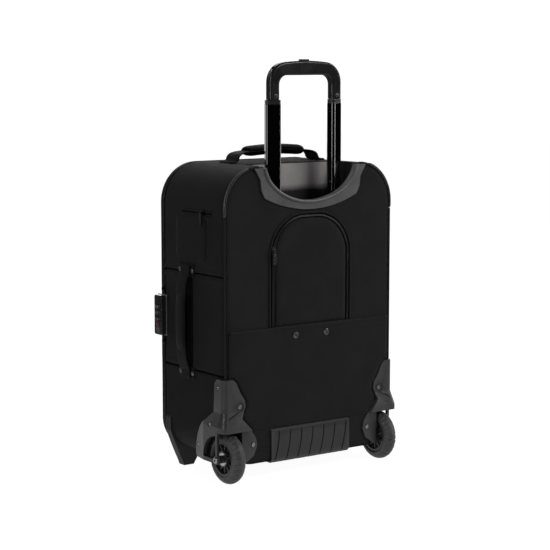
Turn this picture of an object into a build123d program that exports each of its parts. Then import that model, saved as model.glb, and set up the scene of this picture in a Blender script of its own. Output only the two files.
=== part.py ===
"""Soft-sided rolling laptop case on two wheels, with a two-stage telescopic handle.

Millimetres, +Z up.  The front (the lid and its zip) faces -Y, the back (wheels and
telescopic handle) faces +Y.  The origin is on the ground under the middle of the case.
"""
import os
from math import cos, radians, sin, sqrt

from build123d import *

# ---------------------------------------------------------------- driving dimensions
HALF_W = 175.0                 # half the width of the fabric case
BOTTOM_Z = 30.0                # underside of the case above the ground
TOP_Z = 533.0                  # top of the case
TOP_R = 68.0                   # corner radii, seen from the back
BOTTOM_R = 55.0
BACK_Y = 94.0                  # outside of the back panel
SEAM_Y = -96.0                 # the zip seam between case and lid
LID_Y = -112.0                 # front of the lid's rim
SKIN = 2.0                     # fabric
BOARD = 3.0                    # stiffening board inside the fabric
SEAM_GAP = 0.5                 # half the gap between case and lid

WHEEL_R = 43.5                 # in-line wheel
WHEEL_W = 24.0
WHEEL_X = 163.0
WHEEL_Y = 80.0
AXLE_R = 3.95
AXLE_FIT = 0.05                # radial clearance of the bolt in its bearings
WHEEL_GAP = 3.5                # air between the tyre and the guard
WELL_X = 142.0                 # the corner notch for each wheel: its inner side,
WELL_Y = 30.0                  # its front side
WELL_Z = 96.0                  # and its roof
GUARD_X = 187.0                # outside of the wheel guard
GUARD_Z = 180.0                # top of the wheel guard
PLATE = 3.0                    # thickness of the moulded plates

TUBE_X = 65.4                  # centres of the two telescopic tubes
TUBE_Y = 74.0
TUBE_TURN = 20.0               # the tubes' broad faces are turned outwards
OUTER_TUBE = (31.0, 20.0, 6.0)     # width, depth, corner radius
OUTER_BORE = (27.6, 16.6, 4.8)
MIDDLE_TUBE = (27.0, 16.0, 4.5)
MIDDLE_BORE = (21.0, 11.0, 2.5)
INNER_TUBE = (20.4, 10.4, 2.2)
INNER_BORE = (18.0, 8.0, 1.5)
RING = (26.0, 15.0, 4.2)
RING_BORE = (20.8, 10.8, 2.4)
TUB_FLOOR_Z = 440.0            # floor of the recess that the grip folds into
FOOT_BRACKET_Z = 56.0
OUTER_BOTTOM_Z = 62.0
MIDDLE_BOTTOM_Z = 264.0        # the middle stage stands 184 mm out at rest
MIDDLE_TOP_Z = 636.0
RING_TOP_Z = 643.5
INNER_BOTTOM_Z = 288.0
GRIP_LIFT = 0.5                # gap between the collars and the grip at rest
GRIP_TOP_Z = 709.0
GRIP_DEPTH = 16.0
GRIP_LEG_W = 20.0
GRIP_BAR_Z = 684.5             # underside of the grip's crossbar
ROD_R = 2.5
ROD_BOTTOM_Z = 298.0
YOKE_Z = 691.0
SPRING_SEAT_Z = 658.0
BUTTON_TOP_Z = 711.5
PIN_R = 2.0
PIN_FIT = 0.6                  # radial clearance of the pins in the tubes' lock holes
PIN_Z = 283.0                  # height of the lock pins in the inner tubes' plugs
PIN_TIP = 10.0                 # distance of a lock pin's tip from its tube's centre
PIN_LENGTH = 8.0
GRIP_SCREW_Z = 650.0

TUB_HALF_W = 104.0             # recess tub, outside
TUB_FRONT_Y = 34.0
TUB_BACK_Y = 89.0
TUB_WALL = 2.5
FLOOR_DEPTH = 3.5              # thickness of the tub's floor
SCOOP_Z = 540.0                # centre of the half ellipse cut in the back's top edge
SCOOP_RX = 96.0
SCOOP_RZ = 66.0
RIM = 5.0                      # width of the rim that borders that cut

HANDLE_Y = -16.0               # top carry handle
HANDLE_HINGE_Z = 541.0
POCKET_Y = -118.0              # front of the lid's pocket
FRONT_ZIP_Z = 440.0
SIDE_HANDLE_Y = -22.0
SIDE_HANDLE_Z = 266.5
SIDE_HINGE_X = 183.0
SIDE_REACH = 88.5              # from the middle of the side handle to its rivets
WEBBING = 3.0

ZIP_W = 6.0                    # pocket zips
ZIP_H = 1.6
MAIN_ZIP_W = 4.0               # each half of the main zip

LOCK_Z = 269.0
DIAL_R = 6.3
DIAL_X = 186.0
DIAL_Y = -98.0
DIAL_ZS = (262.0, 273.0, 284.0)
DIAL_AXLE_R = 1.3

# Directions of a plane that faces left, back or front.
FACE_X = {"x_dir": (0, 1, 0), "z_dir": (1, 0, 0)}
FACE_BACK = {"x_dir": (-1, 0, 0), "z_dir": (0, 1, 0)}
FACE_FRONT = {"x_dir": (1, 0, 0), "z_dir": (0, -1, 0)}

os.makedirs("parts", exist_ok=True)


def finish(name, builder):
    """Label a finished piece and write it."""
    builder.part.label = name
    export_step(builder.part, f"parts/{name}.step")


def case_outline(y, inset):
    """The case's rounded outline seen along Y, at depth y, moved inwards by inset."""
    with BuildSketch(Plane.XZ.offset(-y)) as outline:
        with Locations((0, (TOP_Z + BOTTOM_Z) / 2)):
            Rectangle(2 * (HALF_W - inset), TOP_Z - BOTTOM_Z - 2 * inset)
        fillet(outline.vertices().group_by(Axis.Y)[-1], TOP_R - inset)
        fillet(outline.vertices().group_by(Axis.Y)[0], BOTTOM_R - inset)
    return outline.sketch


def tube_section(side, z, size):
    """A telescopic tube's rounded section at height z, on side +1 (+X) or -1."""
    with BuildSketch(Plane.XY.offset(z)) as section:
        with Locations((side * TUBE_X, TUBE_Y)):
            RectangleRounded(*size, rotation=-side * TUBE_TURN)
    return section.sketch


def screw_head(head_r, height):
    """A pan head on the local XY plane with a cross slot cut in its top."""
    with BuildPart() as head:
        Cylinder(head_r, height, align=(Align.CENTER, Align.CENTER, Align.MIN))
        fillet(head.edges().filter_by(GeomType.CIRCLE).group_by(Axis.Z)[-1], height * 0.45)
        with Locations((0, 0, height)):
            Box(head_r * 1.1, head_r * 0.24, height * 0.8, mode=Mode.SUBTRACT)
            Box(head_r * 0.24, head_r * 1.1, height * 0.8, mode=Mode.SUBTRACT)
    return head.part


# ---------------------------------------------------------------- shared cutters
with BuildPart() as wheel_wells:
    for side in (1, -1):
        with Locations((side * (WELL_X + 30), (WELL_Y + BACK_Y + 10) / 2, WELL_Z / 2 - 5)):
            Box(60, BACK_Y + 10 - WELL_Y, WELL_Z + 10)

# The recess tub's space in the fabric, and in the frame of the boards under it.
TUB_DROP = 2 * (TOP_Z - TUB_FLOOR_Z + FLOOR_DEPTH)
with BuildPart() as tub_space:
    with Locations((0, (TUB_FRONT_Y + BACK_Y + 10) / 2, TOP_Z)):
        Box(2 * TUB_HALF_W, BACK_Y + 10 - TUB_FRONT_Y, TUB_DROP)

with BuildPart() as frame_notch:
    with Locations((0, (TUB_FRONT_Y + BACK_Y - SKIN - BOARD) / 2, TOP_Z)):
        Box(2 * TUB_HALF_W, BACK_Y - SKIN - BOARD - TUB_FRONT_Y, TUB_DROP)


def scoop(grow, from_y, to_y):
    """The half-elliptical cut in the back's top edge, widened by grow."""
    with BuildPart() as cut:
        with BuildSketch(Plane.XZ.offset(-to_y)):
            with Locations((0, SCOOP_Z)):
                Ellipse(SCOOP_RX + grow, SCOOP_RZ + grow)
        extrude(amount=to_y - from_y)
    return cut.part


# ---------------------------------------------------------------- the fabric case
CASE_FRONT = SEAM_Y + SEAM_GAP
PANEL_Y = BACK_Y - SKIN
BOARD_Y = PANEL_Y - BOARD

with BuildPart() as outer_gusset:
    extrude(case_outline(PANEL_Y, 0), amount=PANEL_Y - CASE_FRONT)
    extrude(case_outline(PANEL_Y, SKIN), amount=PANEL_Y - CASE_FRONT, mode=Mode.SUBTRACT)
    add(wheel_wells.part, mode=Mode.SUBTRACT)
    add(tub_space.part, mode=Mode.SUBTRACT)
finish("outer_gusset", outer_gusset)

with BuildPart() as back_panel:
    extrude(case_outline(BACK_Y, 0), amount=SKIN)
    add(wheel_wells.part, mode=Mode.SUBTRACT)
    add(scoop(RIM, PANEL_Y - 1, BACK_Y + 1), mode=Mode.SUBTRACT)
finish("back_panel", back_panel)

# Stiffening boards: a flat one behind the back panel, and a frame inside the gusset.
FRAME_BACK_Y = BOARD_Y - 0.2
FRAME_DEPTH = FRAME_BACK_Y - CASE_FRONT - 1
with BuildPart() as stiffener_boards:
    extrude(case_outline(PANEL_Y, SKIN), amount=BOARD)
    add(scoop(RIM, BOARD_Y - 1, BACK_Y), mode=Mode.SUBTRACT)
    extrude(case_outline(FRAME_BACK_Y, SKIN), amount=FRAME_DEPTH)
    extrude(case_outline(FRAME_BACK_Y, SKIN + BOARD), amount=FRAME_DEPTH, mode=Mode.SUBTRACT)
    add(wheel_wells.part, mode=Mode.SUBTRACT)
    add(frame_notch.part, mode=Mode.SUBTRACT)
finish("stiffener_boards", stiffener_boards)

# A hat-shaped cover inside the case, over the telescopic tubes.
TUNNEL_HALF_W = 113.0
TUNNEL_Y = 50.0
TUNNEL_BOTTOM_Z = BOTTOM_Z + SKIN + BOARD
TUNNEL_TOP_Z = TUB_FLOOR_Z - 4
with BuildPart() as tunnel_cover:
    for inset, how in ((0, Mode.ADD), (BOARD, Mode.SUBTRACT)):
        with BuildSketch(Plane.XY.offset(TUNNEL_BOTTOM_Z)) as hat:
            with Locations((0, (TUNNEL_Y + inset + BOARD_Y) / 2)):
                Rectangle(2 * (TUNNEL_HALF_W - inset), BOARD_Y - TUNNEL_Y - inset)
            fillet(hat.vertices().group_by(Axis.Y)[0], 12 - inset)
        extrude(amount=TUNNEL_TOP_Z - TUNNEL_BOTTOM_Z, mode=how)
finish("tunnel_cover", tunnel_cover)

# ---------------------------------------------------------------- recess and its trim
with BuildPart() as handle_tub:
    with Locations((0, (TUB_FRONT_Y + TUB_BACK_Y) / 2, (TUB_FLOOR_Z - FLOOR_DEPTH + TOP_Z) / 2)):
        Box(2 * TUB_HALF_W, TUB_BACK_Y - TUB_FRONT_Y, TOP_Z - TUB_FLOOR_Z + FLOOR_DEPTH)
    fillet(handle_tub.edges().filter_by(Axis.Z).group_by(Axis.Y)[0], 24)
    with BuildSketch(Plane.XY.offset(TUB_FLOOR_Z)) as tub_inside:
        with Locations((0, (TUB_FRONT_Y + TUB_BACK_Y) / 2)):
            Rectangle(2 * (TUB_HALF_W - TUB_WALL), TUB_BACK_Y - TUB_FRONT_Y - 2 * TUB_WALL)
        fillet(tub_inside.vertices().group_by(Axis.Y)[0], 24 - TUB_WALL)
    extrude(amount=TOP_Z - TUB_FLOOR_Z, mode=Mode.SUBTRACT)
    fillet(handle_tub.faces().filter_by(Axis.Z).sort_by(Axis.Z)[1].edges().group_by(Axis.Y)[0], 2)
    add(scoop(0, TUB_BACK_Y - TUB_WALL - 1, TUB_BACK_Y + 1), mode=Mode.SUBTRACT)
    for side in (1, -1):
        extrude(tube_section(side, TUB_FLOOR_Z, (33.0, 22.0, 7.5)), amount=1.6)
        extrude(tube_section(side, TUB_FLOOR_Z - 5, OUTER_BORE), amount=10, mode=Mode.SUBTRACT)
finish("handle_tub", handle_tub)

# The crescent: a plate under the cut, with a raised rounded rim along the cut.
with BuildPart() as crescent_trim:
    with BuildSketch(Plane.XZ.offset(-BACK_Y - PLATE)):
        with BuildLine():
            right = Polyline((118, TOP_Z - 2), (106, 511), (104, 494))
            lower = ThreePointArc((97, 480), (0, 458), (-97, 480))
            Line(right @ 1, lower @ 0)
            left = Polyline((-104, 494), (-106, 511), (-118, TOP_Z - 2))
            Line(lower @ 1, left @ 0)
            Line(left @ 1, right @ 0)
        make_face()
    extrude(amount=PLATE)
    add(scoop(RIM, BACK_Y - 1, BACK_Y + PLATE + 1), mode=Mode.SUBTRACT)
    plate_rim = crescent_trim.faces().sort_by(Axis.Y)[-1].outer_wire()
    fillet(plate_rim.edges().filter_by(GeomType.CIRCLE), 1.5)
    with BuildSketch(Plane.XZ.offset(-BACK_Y - 6)) as rim_band:
        with Locations((0, SCOOP_Z)):
            Ellipse(SCOOP_RX + RIM, SCOOP_RZ + RIM)
            Ellipse(SCOOP_RX, SCOOP_RZ, mode=Mode.SUBTRACT)
        with Locations((0, TOP_Z + 50 - 2)):
            Rectangle(2 * TUB_HALF_W, 100, mode=Mode.SUBTRACT)
    extrude(amount=BACK_Y + 6 - TUB_BACK_Y)
    rim_edges = crescent_trim.faces().sort_by(Axis.Y)[-1].edges().filter_by(GeomType.ELLIPSE)
    fillet(rim_edges, 2.2)
finish("crescent_trim", crescent_trim)

# ---------------------------------------------------------------- telescopic handle
OUTER_LENGTH = TUB_FLOOR_Z - FLOOR_DEPTH - OUTER_BOTTOM_Z
with BuildPart() as outer_tubes:
    for side in (1, -1):
        extrude(tube_section(side, OUTER_BOTTOM_Z, OUTER_TUBE), amount=OUTER_LENGTH)
        extrude(tube_section(side, OUTER_BOTTOM_Z, OUTER_BORE), amount=OUTER_LENGTH, mode=Mode.SUBTRACT)
finish("outer_tubes", outer_tubes)

with BuildPart() as tube_bracket:
    with Locations((0, (TUBE_Y - 16 + BOARD_Y) / 2, FOOT_BRACKET_Z + 9)):
        Box(200, BOARD_Y - TUBE_Y + 16, 18)
    chamfer(tube_bracket.edges().filter_by(Axis.Z).group_by(Axis.Y)[0], 6)
    for side in (1, -1):
        extrude(tube_section(side, OUTER_BOTTOM_Z, OUTER_TUBE), amount=20, mode=Mode.SUBTRACT)
    with Locations((0, TUBE_Y - 2, FOOT_BRACKET_Z + 13)):
        Box(80, 22, 18, mode=Mode.SUBTRACT)
finish("tube_bracket", tube_bracket)

LOCK_HOLE_ZS = (MIDDLE_TOP_Z - 12, MIDDLE_TOP_Z - 132)


def pin_plane(side, z):
    """A plane through a tube's centre, its z along the lock pin, inwards."""
    turn = radians(-side * TUBE_TURN)
    return Plane(origin=(side * TUBE_X, TUBE_Y, z), x_dir=(0, 0, 1),
                 z_dir=(-side * cos(turn), -side * sin(turn), 0))


MIDDLE_LENGTH = MIDDLE_TOP_Z - MIDDLE_BOTTOM_Z
with BuildPart() as middle_tubes:
    for side in (1, -1):
        extrude(tube_section(side, MIDDLE_BOTTOM_Z, MIDDLE_TUBE), amount=MIDDLE_LENGTH)
        extrude(tube_section(side, MIDDLE_BOTTOM_Z, MIDDLE_BORE), amount=MIDDLE_LENGTH, mode=Mode.SUBTRACT)
        for z in LOCK_HOLE_ZS:
            with BuildSketch(pin_plane(side, z)):
                Circle(PIN_R + PIN_FIT)
            extrude(amount=MIDDLE_TUBE[0], mode=Mode.SUBTRACT)
finish("middle_tubes", middle_tubes)

# Collars at the top of the middle tubes, and plugs in their lower ends.
with BuildPart() as middle_collars:
    for side in (1, -1):
        extrude(tube_section(side, MIDDLE_TOP_Z, RING), amount=RING_TOP_Z - MIDDLE_TOP_Z)
        extrude(tube_section(side, MIDDLE_TOP_Z, RING_BORE), amount=RING_TOP_Z - MIDDLE_TOP_Z,
                mode=Mode.SUBTRACT)
        extrude(tube_section(side, MIDDLE_BOTTOM_Z - 6, MIDDLE_TUBE), amount=6)
        extrude(tube_section(side, MIDDLE_BOTTOM_Z, MIDDLE_BORE), amount=8)
finish("middle_collars", middle_collars)

INNER_LENGTH = RING_TOP_Z + GRIP_LIFT - INNER_BOTTOM_Z
with BuildPart() as inner_tubes:
    for side in (1, -1):
        extrude(tube_section(side, INNER_BOTTOM_Z, INNER_TUBE), amount=INNER_LENGTH)
        extrude(tube_section(side, INNER_BOTTOM_Z, INNER_BORE), amount=INNER_LENGTH, mode=Mode.SUBTRACT)
finish("inner_tubes", inner_tubes)

with BuildPart() as inner_plugs:
    for side in (1, -1):
        extrude(tube_section(side, INNER_BOTTOM_Z - 10, INNER_TUBE), amount=10)
        extrude(tube_section(side, INNER_BOTTOM_Z, INNER_BORE), amount=4)
        with BuildSketch(pin_plane(side, PIN_Z).offset(PIN_TIP - PIN_LENGTH - 4)):
            Circle(PIN_R + 0.05)
        extrude(amount=20, mode=Mode.SUBTRACT)
finish("inner_plugs", inner_plugs)

for side, word in ((1, "left"), (-1, "right")):
    with BuildPart() as lock_pin:
        with BuildSketch(pin_plane(side, PIN_Z).offset(PIN_TIP - PIN_LENGTH)):
            Circle(PIN_R)
        extrude(amount=PIN_LENGTH)
        chamfer(lock_pin.edges().filter_by(GeomType.CIRCLE), 0.4)
    finish(f"lock_pin_{word}", lock_pin)


def grip_half(from_y, to_y):
    """One half of the U-shaped grip, hollow for the yoke, rods and springs."""
    outer_x = TUBE_X + GRIP_LEG_W / 2
    inner_x = TUBE_X - GRIP_LEG_W / 2
    with BuildPart() as grip:
        with BuildSketch(Plane.XZ.offset(-TUBE_Y - GRIP_DEPTH / 2)) as u_shape:
            with BuildLine():
                leg = Line((outer_x, RING_TOP_Z + GRIP_LIFT), (outer_x, GRIP_TOP_Z - 36))
                corner = RadiusArc(leg @ 1, (45, GRIP_TOP_Z - 2.5), -34)
                crown = ThreePointArc(corner @ 1, (0, GRIP_TOP_Z), (-45, GRIP_TOP_Z - 2.5))
                corner_2 = RadiusArc(crown @ 1, (-outer_x, GRIP_TOP_Z - 36), -34)
                leg_2 = Line(corner_2 @ 1, (-outer_x, RING_TOP_Z + GRIP_LIFT))
                foot = Line(leg_2 @ 1, (-inner_x, RING_TOP_Z + GRIP_LIFT))
                up = Line(foot @ 1, (-inner_x, GRIP_BAR_Z - 16))
                inside = RadiusArc(up @ 1, (-inner_x + 16, GRIP_BAR_Z), 16)
                bar = Line(inside @ 1, (inner_x - 16, GRIP_BAR_Z))
                inside_2 = RadiusArc(bar @ 1, (inner_x, GRIP_BAR_Z - 16), 16)
                down = Line(inside_2 @ 1, (inner_x, RING_TOP_Z + GRIP_LIFT))
                Line(down @ 1, leg @ 0)
            make_face()
        extrude(amount=GRIP_DEPTH)
        rims = grip.faces().filter_by(Axis.Y).edges()
        fillet(rims.filter_by(lambda e: e.center().Z > RING_TOP_Z + 1), 4)
        for side in (1, -1):
            with Locations((side * TUBE_X, TUBE_Y, 665)):
                Box(2 * ROD_R + 0.8, 2 * ROD_R + 0.8, 60, mode=Mode.SUBTRACT)
            with Locations((side * TUBE_X, TUBE_Y, (SPRING_SEAT_Z + YOKE_Z + 4) / 2)):
                Box(8.6, 8.6, YOKE_Z + 4 - SPRING_SEAT_Z, mode=Mode.SUBTRACT)
        with Locations((0, TUBE_Y, YOKE_Z + 1.5)):
            Box(2 * TUBE_X + 8, 6, 14, mode=Mode.SUBTRACT)
        with Locations((0, TUBE_Y, YOKE_Z + 11)):
            Box(21, 9.6, 23, mode=Mode.SUBTRACT)
        with Locations((0, (from_y + to_y) / 2, 670)):
            Box(200, to_y - from_y, 100, mode=Mode.INTERSECT)
    return grip


finish("grip_back", grip_half(TUBE_Y, TUBE_Y + GRIP_DEPTH))
finish("grip_front", grip_half(TUBE_Y - GRIP_DEPTH, TUBE_Y))

with BuildPart() as grip_screws:
    for side in (1, -1):
        screw_spot = (side * TUBE_X, TUBE_Y + GRIP_DEPTH / 2, GRIP_SCREW_Z)
        with Locations(Plane(origin=screw_spot, x_dir=(1, 0, 0), z_dir=(0, 1, 0))):
            add(screw_head(3.2, 1.6))
finish("grip_screws", grip_screws)

with BuildPart() as push_button:
    with Locations((0, TUBE_Y, (YOKE_Z + 5 + BUTTON_TOP_Z) / 2)):
        Box(20, 8.8, BUTTON_TOP_Z - YOKE_Z - 5)
    fillet(push_button.edges().filter_by(Axis.Z), 3.5)
    fillet(push_button.faces().sort_by(Axis.Z)[-1].edges(), 1.5)
    with Locations((0, TUBE_Y, YOKE_Z + 5)):
        Box(8, 5, 2)
finish("push_button", push_button)

# The yoke under the button, with the two rods that reach down the inner tubes.
with BuildPart() as release_yoke:
    with Locations((0, TUBE_Y, YOKE_Z + 2)):
        Box(2 * TUBE_X + 6, 5, 4)
    fillet(release_yoke.edges().filter_by(Axis.Z), 1.5)
    for side in (1, -1):
        with Locations((side * TUBE_X, TUBE_Y, ROD_BOTTOM_Z)):
            Cylinder(ROD_R, YOKE_Z - ROD_BOTTOM_Z, align=(Align.CENTER, Align.CENTER, Align.MIN))
finish("release_yoke", release_yoke)

SPRING_R = 3.4
WIRE_R = 0.45
SPRING_TURNS = 8
SPRING_H = YOKE_Z - SPRING_SEAT_Z - 2 * WIRE_R - 0.2
with BuildPart() as return_springs:
    for side in (1, -1):
        start = (side * TUBE_X, TUBE_Y, SPRING_SEAT_Z + WIRE_R + 0.1)
        with BuildLine(Plane(origin=start)) as coil:
            Helix(pitch=SPRING_H / SPRING_TURNS, height=SPRING_H, radius=SPRING_R)
        with BuildSketch(Plane(origin=coil.line @ 0, z_dir=coil.line % 0)):
            Circle(WIRE_R)
        sweep(path=coil.line, is_frenet=True)
finish("return_springs", return_springs)

# ---------------------------------------------------------------- wheels
for side, word in ((1, "left"), (-1, "right")):
    hub_plane = Plane(origin=(side * WHEEL_X, WHEEL_Y, WHEEL_R), x_dir=(0, 1, 0), z_dir=(1, 0, 0))
    with BuildPart(hub_plane) as tyre:
        with BuildSketch(Plane(origin=(side * WHEEL_X, WHEEL_Y, WHEEL_R), **FACE_FRONT)):
            with BuildLine():
                tread = ThreePointArc((WHEEL_W / 2, 33), (0, WHEEL_R), (-WHEEL_W / 2, 33))
                Polyline(tread @ 1, (-WHEEL_W / 2 + 1, 29), (WHEEL_W / 2 - 1, 29), tread @ 0)
            make_face()
        revolve(axis=Axis((side * WHEEL_X, WHEEL_Y, WHEEL_R), (1, 0, 0)))
    finish(f"tyre_{word}", tyre)

    with BuildPart() as hub:
        with BuildSketch(hub_plane.offset(-WHEEL_W / 2 + 1)):
            Circle(29)
            Circle(25.5, mode=Mode.SUBTRACT)
        extrude(amount=WHEEL_W - 2)
        with BuildSketch(hub_plane.offset(-WHEEL_W / 2 + 0.5)):
            Circle(14)
        extrude(amount=WHEEL_W - 1)
        with BuildSketch(hub_plane.offset(-7)):
            with PolarLocations(20, 12):
                Rectangle(13, 3)
        extrude(amount=14)
        with BuildSketch(hub_plane.offset(-WHEEL_W / 2)):
            Circle(11)
        extrude(amount=WHEEL_W, mode=Mode.SUBTRACT)
    finish(f"hub_{word}", hub)

    with BuildPart() as bearings:
        for inner_end in (-WHEEL_W / 2 + 0.5, WHEEL_W / 2 - 7.5):
            with BuildSketch(hub_plane.offset(inner_end)):
                Circle(11)
                Circle(AXLE_R + AXLE_FIT, mode=Mode.SUBTRACT)
            extrude(amount=7)
    finish(f"bearings_{word}", bearings)

# ---------------------------------------------------------------- wheel guards
MOUTH_R = WHEEL_R + WHEEL_GAP
HOOD_Z = WHEEL_R + MOUTH_R     # underside of the hood over the wheel
HOOD_Y = BACK_Y + 9
FLANGE_R = 74.0
CORNER_R = 8.0                 # the guard's upright corner
RIM_X = 179.0                  # inner face of the rim and the bar outside the wheel
STRUT = 4.5
CHEEK_X = WELL_X + 0.2         # inner cheek of the wheel well, with the nut let into its boss
CHEEK_W = 3.3
BOSS_W = 9.0
NUT_R = 7.5
NUT_W = 4.8

BACK_SCREWS = ((150.5, 133, BACK_Y + PLATE - 0.8), (123.4, 65, BACK_Y + PLATE))   # x, z, seat
SIDE_SCREWS = ((73, 165, 178.2), (58, 101.5, 183.5), (16, 58, 178))               # y, z, seat

# Plans of the guard's outside: slim above, swollen over the wheel.
SLIM = ((100, 0), (177, 0), (177.5, 40), (181, 84), (181, BACK_Y + PLATE))
SWOLLEN = ((100, 0), (177, 0), (186, 40), (GUARD_X, 84), (GUARD_X, HOOD_Y))


def on_flange(z):
    """Front-to-back place of the flange's round edge at height z."""
    return WHEEL_Y - sqrt(FLANGE_R ** 2 - (z - WHEEL_R) ** 2)


def guard_outline():
    """The left guard's outline seen from behind."""
    with BuildSketch() as outline:
        with BuildLine():
            Polyline((GUARD_X, GUARD_Z), (163, GUARD_Z), (156, 173), (149, 157), (139.5, 143),
                     (138, 133), (147, 112), (126, 89), (117, 76), (114.5, 63), (121, 46), (141, 33),
                     (GUARD_X, 33), (GUARD_X, GUARD_Z))
        make_face()
        fillet(outline.vertices().filter_by(lambda v: v.X < 170 and v.Y > 40), 5)
    return outline.sketch


with BuildPart() as case_body:
    extrude(case_outline(BACK_Y, 0), amount=BACK_Y - CASE_FRONT)
    add(wheel_wells.part, mode=Mode.SUBTRACT)

with BuildPart() as guard_blank:
    for plan, z in ((SWOLLEN, 30), (SWOLLEN, 100), (SLIM, 124), (SLIM, GUARD_Z + 5)):
        with BuildSketch(Plane.XY.offset(z)) as section:
            with BuildLine():
                Polyline(*plan, (100, plan[-1][1]), close=True)
            make_face()
            fillet(section.vertices().sort_by(lambda v: v.X + v.Y)[-1], CORNER_R)
    loft(ruled=True)
    with BuildSketch(Plane.XZ.offset(-HOOD_Y - 5)):
        add(guard_outline())
    extrude(amount=HOOD_Y + 5, mode=Mode.INTERSECT)

# The lobe on the back, beside the wheel.
with BuildPart() as guard_lobe:
    add(guard_blank.part)
    with Locations((CHEEK_X + CHEEK_W - 30, BACK_Y + PLATE / 2, HOOD_Z - 25)):
        Box(60, PLATE, 80, mode=Mode.INTERSECT)

with BuildPart() as guard:
    add(guard_blank.part)
    with BuildSketch(Plane.YZ.offset(WELL_X - 40)):
        with BuildLine():
            edge = Polyline((HOOD_Y, GUARD_Z), (73, GUARD_Z), (65, 172), (61, 122), (on_flange(107), 107))
            flare = ThreePointArc(edge @ 1, (on_flange(72), 72), (on_flange(44), 44))
            toe = Polyline(flare @ 1, (9, 37), (WHEEL_Y - sqrt(MOUTH_R ** 2 - 42.25), 37))
            arch = ThreePointArc(toe @ 1, (WHEEL_Y - MOUTH_R * 0.7071, WHEEL_R + MOUTH_R * 0.7071),
                                 (WHEEL_Y, HOOD_Z))
            Polyline(arch @ 1, (HOOD_Y, HOOD_Z), edge @ 0)
        make_face()
    extrude(amount=GUARD_X - WELL_X + 40, mode=Mode.INTERSECT)
    # The rim of the window over the wheel's side, and the bar under it.
    with BuildPart(mode=Mode.PRIVATE) as rim:
        with BuildSketch(Plane.YZ.offset(RIM_X)):
            with Locations((WHEEL_Y, WHEEL_R)):
                Circle(MOUTH_R + 2)
                Circle(MOUTH_R - 6, mode=Mode.SUBTRACT)
            with Locations((WHEEL_Y - 30, WHEEL_R - 30)):
                Rectangle(200, 47, mode=Mode.SUBTRACT)
            with Locations((WHEEL_Y + 50, WHEEL_R)):
                Rectangle(100, 200, mode=Mode.SUBTRACT)
            with Locations(((9 + WHEEL_Y) / 2, 40.5)):
                Rectangle(WHEEL_Y - 9, 7)
        extrude(amount=GUARD_X - RIM_X)
        add(guard_blank.part, mode=Mode.INTERSECT)
    add(rim.part)
    add(guard_lobe.part)
    add(case_body.part, mode=Mode.SUBTRACT)
    # The inner cheek of the wheel well, its boss, and the strut outside the wheel.
    with BuildSketch(Plane.YZ.offset(CHEEK_X)):
        with Locations(((WELL_Y + 0.2 + BACK_Y + PLATE) / 2, (36 + WELL_Z - 0.2) / 2)):
            Rectangle(BACK_Y + PLATE - WELL_Y - 0.2, WELL_Z - 36.2)
    extrude(amount=CHEEK_W)
    with BuildSketch(Plane.YZ.offset(CHEEK_X)):
        with Locations((WHEEL_Y, WHEEL_R)):
            Circle(12)
    extrude(amount=BOSS_W)
    with BuildSketch(Plane.YZ.offset(CHEEK_X)):
        with Locations((WHEEL_Y, WHEEL_R)):
            RegularPolygon(NUT_R, 6)
    extrude(amount=NUT_W, mode=Mode.SUBTRACT)
    with BuildSketch(Plane.YZ.offset(GUARD_X - STRUT)):
        with Locations((WHEEL_Y, (HOOD_Z + WHEEL_R + 4) / 2)):
            Rectangle(5, HOOD_Z - WHEEL_R + 4)
        with Locations((WHEEL_Y, WHEEL_R)):
            Circle(7.5)
    extrude(amount=STRUT)
    with BuildSketch(Plane.YZ.offset(WHEEL_X + WHEEL_W / 2 + 0.4)):
        with Locations((WHEEL_Y, WHEEL_R)):
            Circle(6.5)
    extrude(amount=GUARD_X - STRUT - WHEEL_X - WHEEL_W / 2 - 0.4)
    with BuildSketch(Plane.YZ.offset(CHEEK_X + BOSS_W)):
        with Locations((WHEEL_Y, WHEEL_R)):
            Circle(6.5)
    extrude(amount=WHEEL_X - WHEEL_W / 2 - 0.4 - CHEEK_X - BOSS_W)
    with BuildSketch(Plane.YZ.offset(CHEEK_X)):
        with Locations((WHEEL_Y, WHEEL_R)):
            Circle(AXLE_R)
    extrude(amount=60, mode=Mode.SUBTRACT)
    for y, z, seat_x in SIDE_SCREWS:
        with BuildSketch(Plane.YZ.offset(seat_x)):
            with Locations((y, z)):
                Circle(4.4)
        extrude(amount=20, mode=Mode.SUBTRACT)
    # A shallow dish round the middle screw, and the parting grooves beside it.
    with BuildSketch(Plane.XZ.offset(-BACK_Y - PLATE - 0.1)):
        with Locations(BACK_SCREWS[0][:2]):
            Circle(8.5)
    extrude(amount=0.9, mode=Mode.SUBTRACT)
    with Locations(Plane(origin=(161, BACK_Y + PLATE + 1.5, 120), x_dir=(0.9, 0, -0.44), z_dir=(0, 1, 0))):
        Box(30, 1.6, 5, mode=Mode.SUBTRACT)
    with Locations(Plane(origin=(186.4, 76, 108), x_dir=(0, 1, 0.25), z_dir=(1, 0, 0))):
        Box(30, 1.6, 5, mode=Mode.SUBTRACT)

guard_right = mirror(guard.part, about=Plane.YZ)
guard.part.label = "wheel_guard_left"
export_step(guard.part, "parts/wheel_guard_left.step")
guard_right.label = "wheel_guard_right"
export_step(guard_right, "parts/wheel_guard_right.step")

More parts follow.
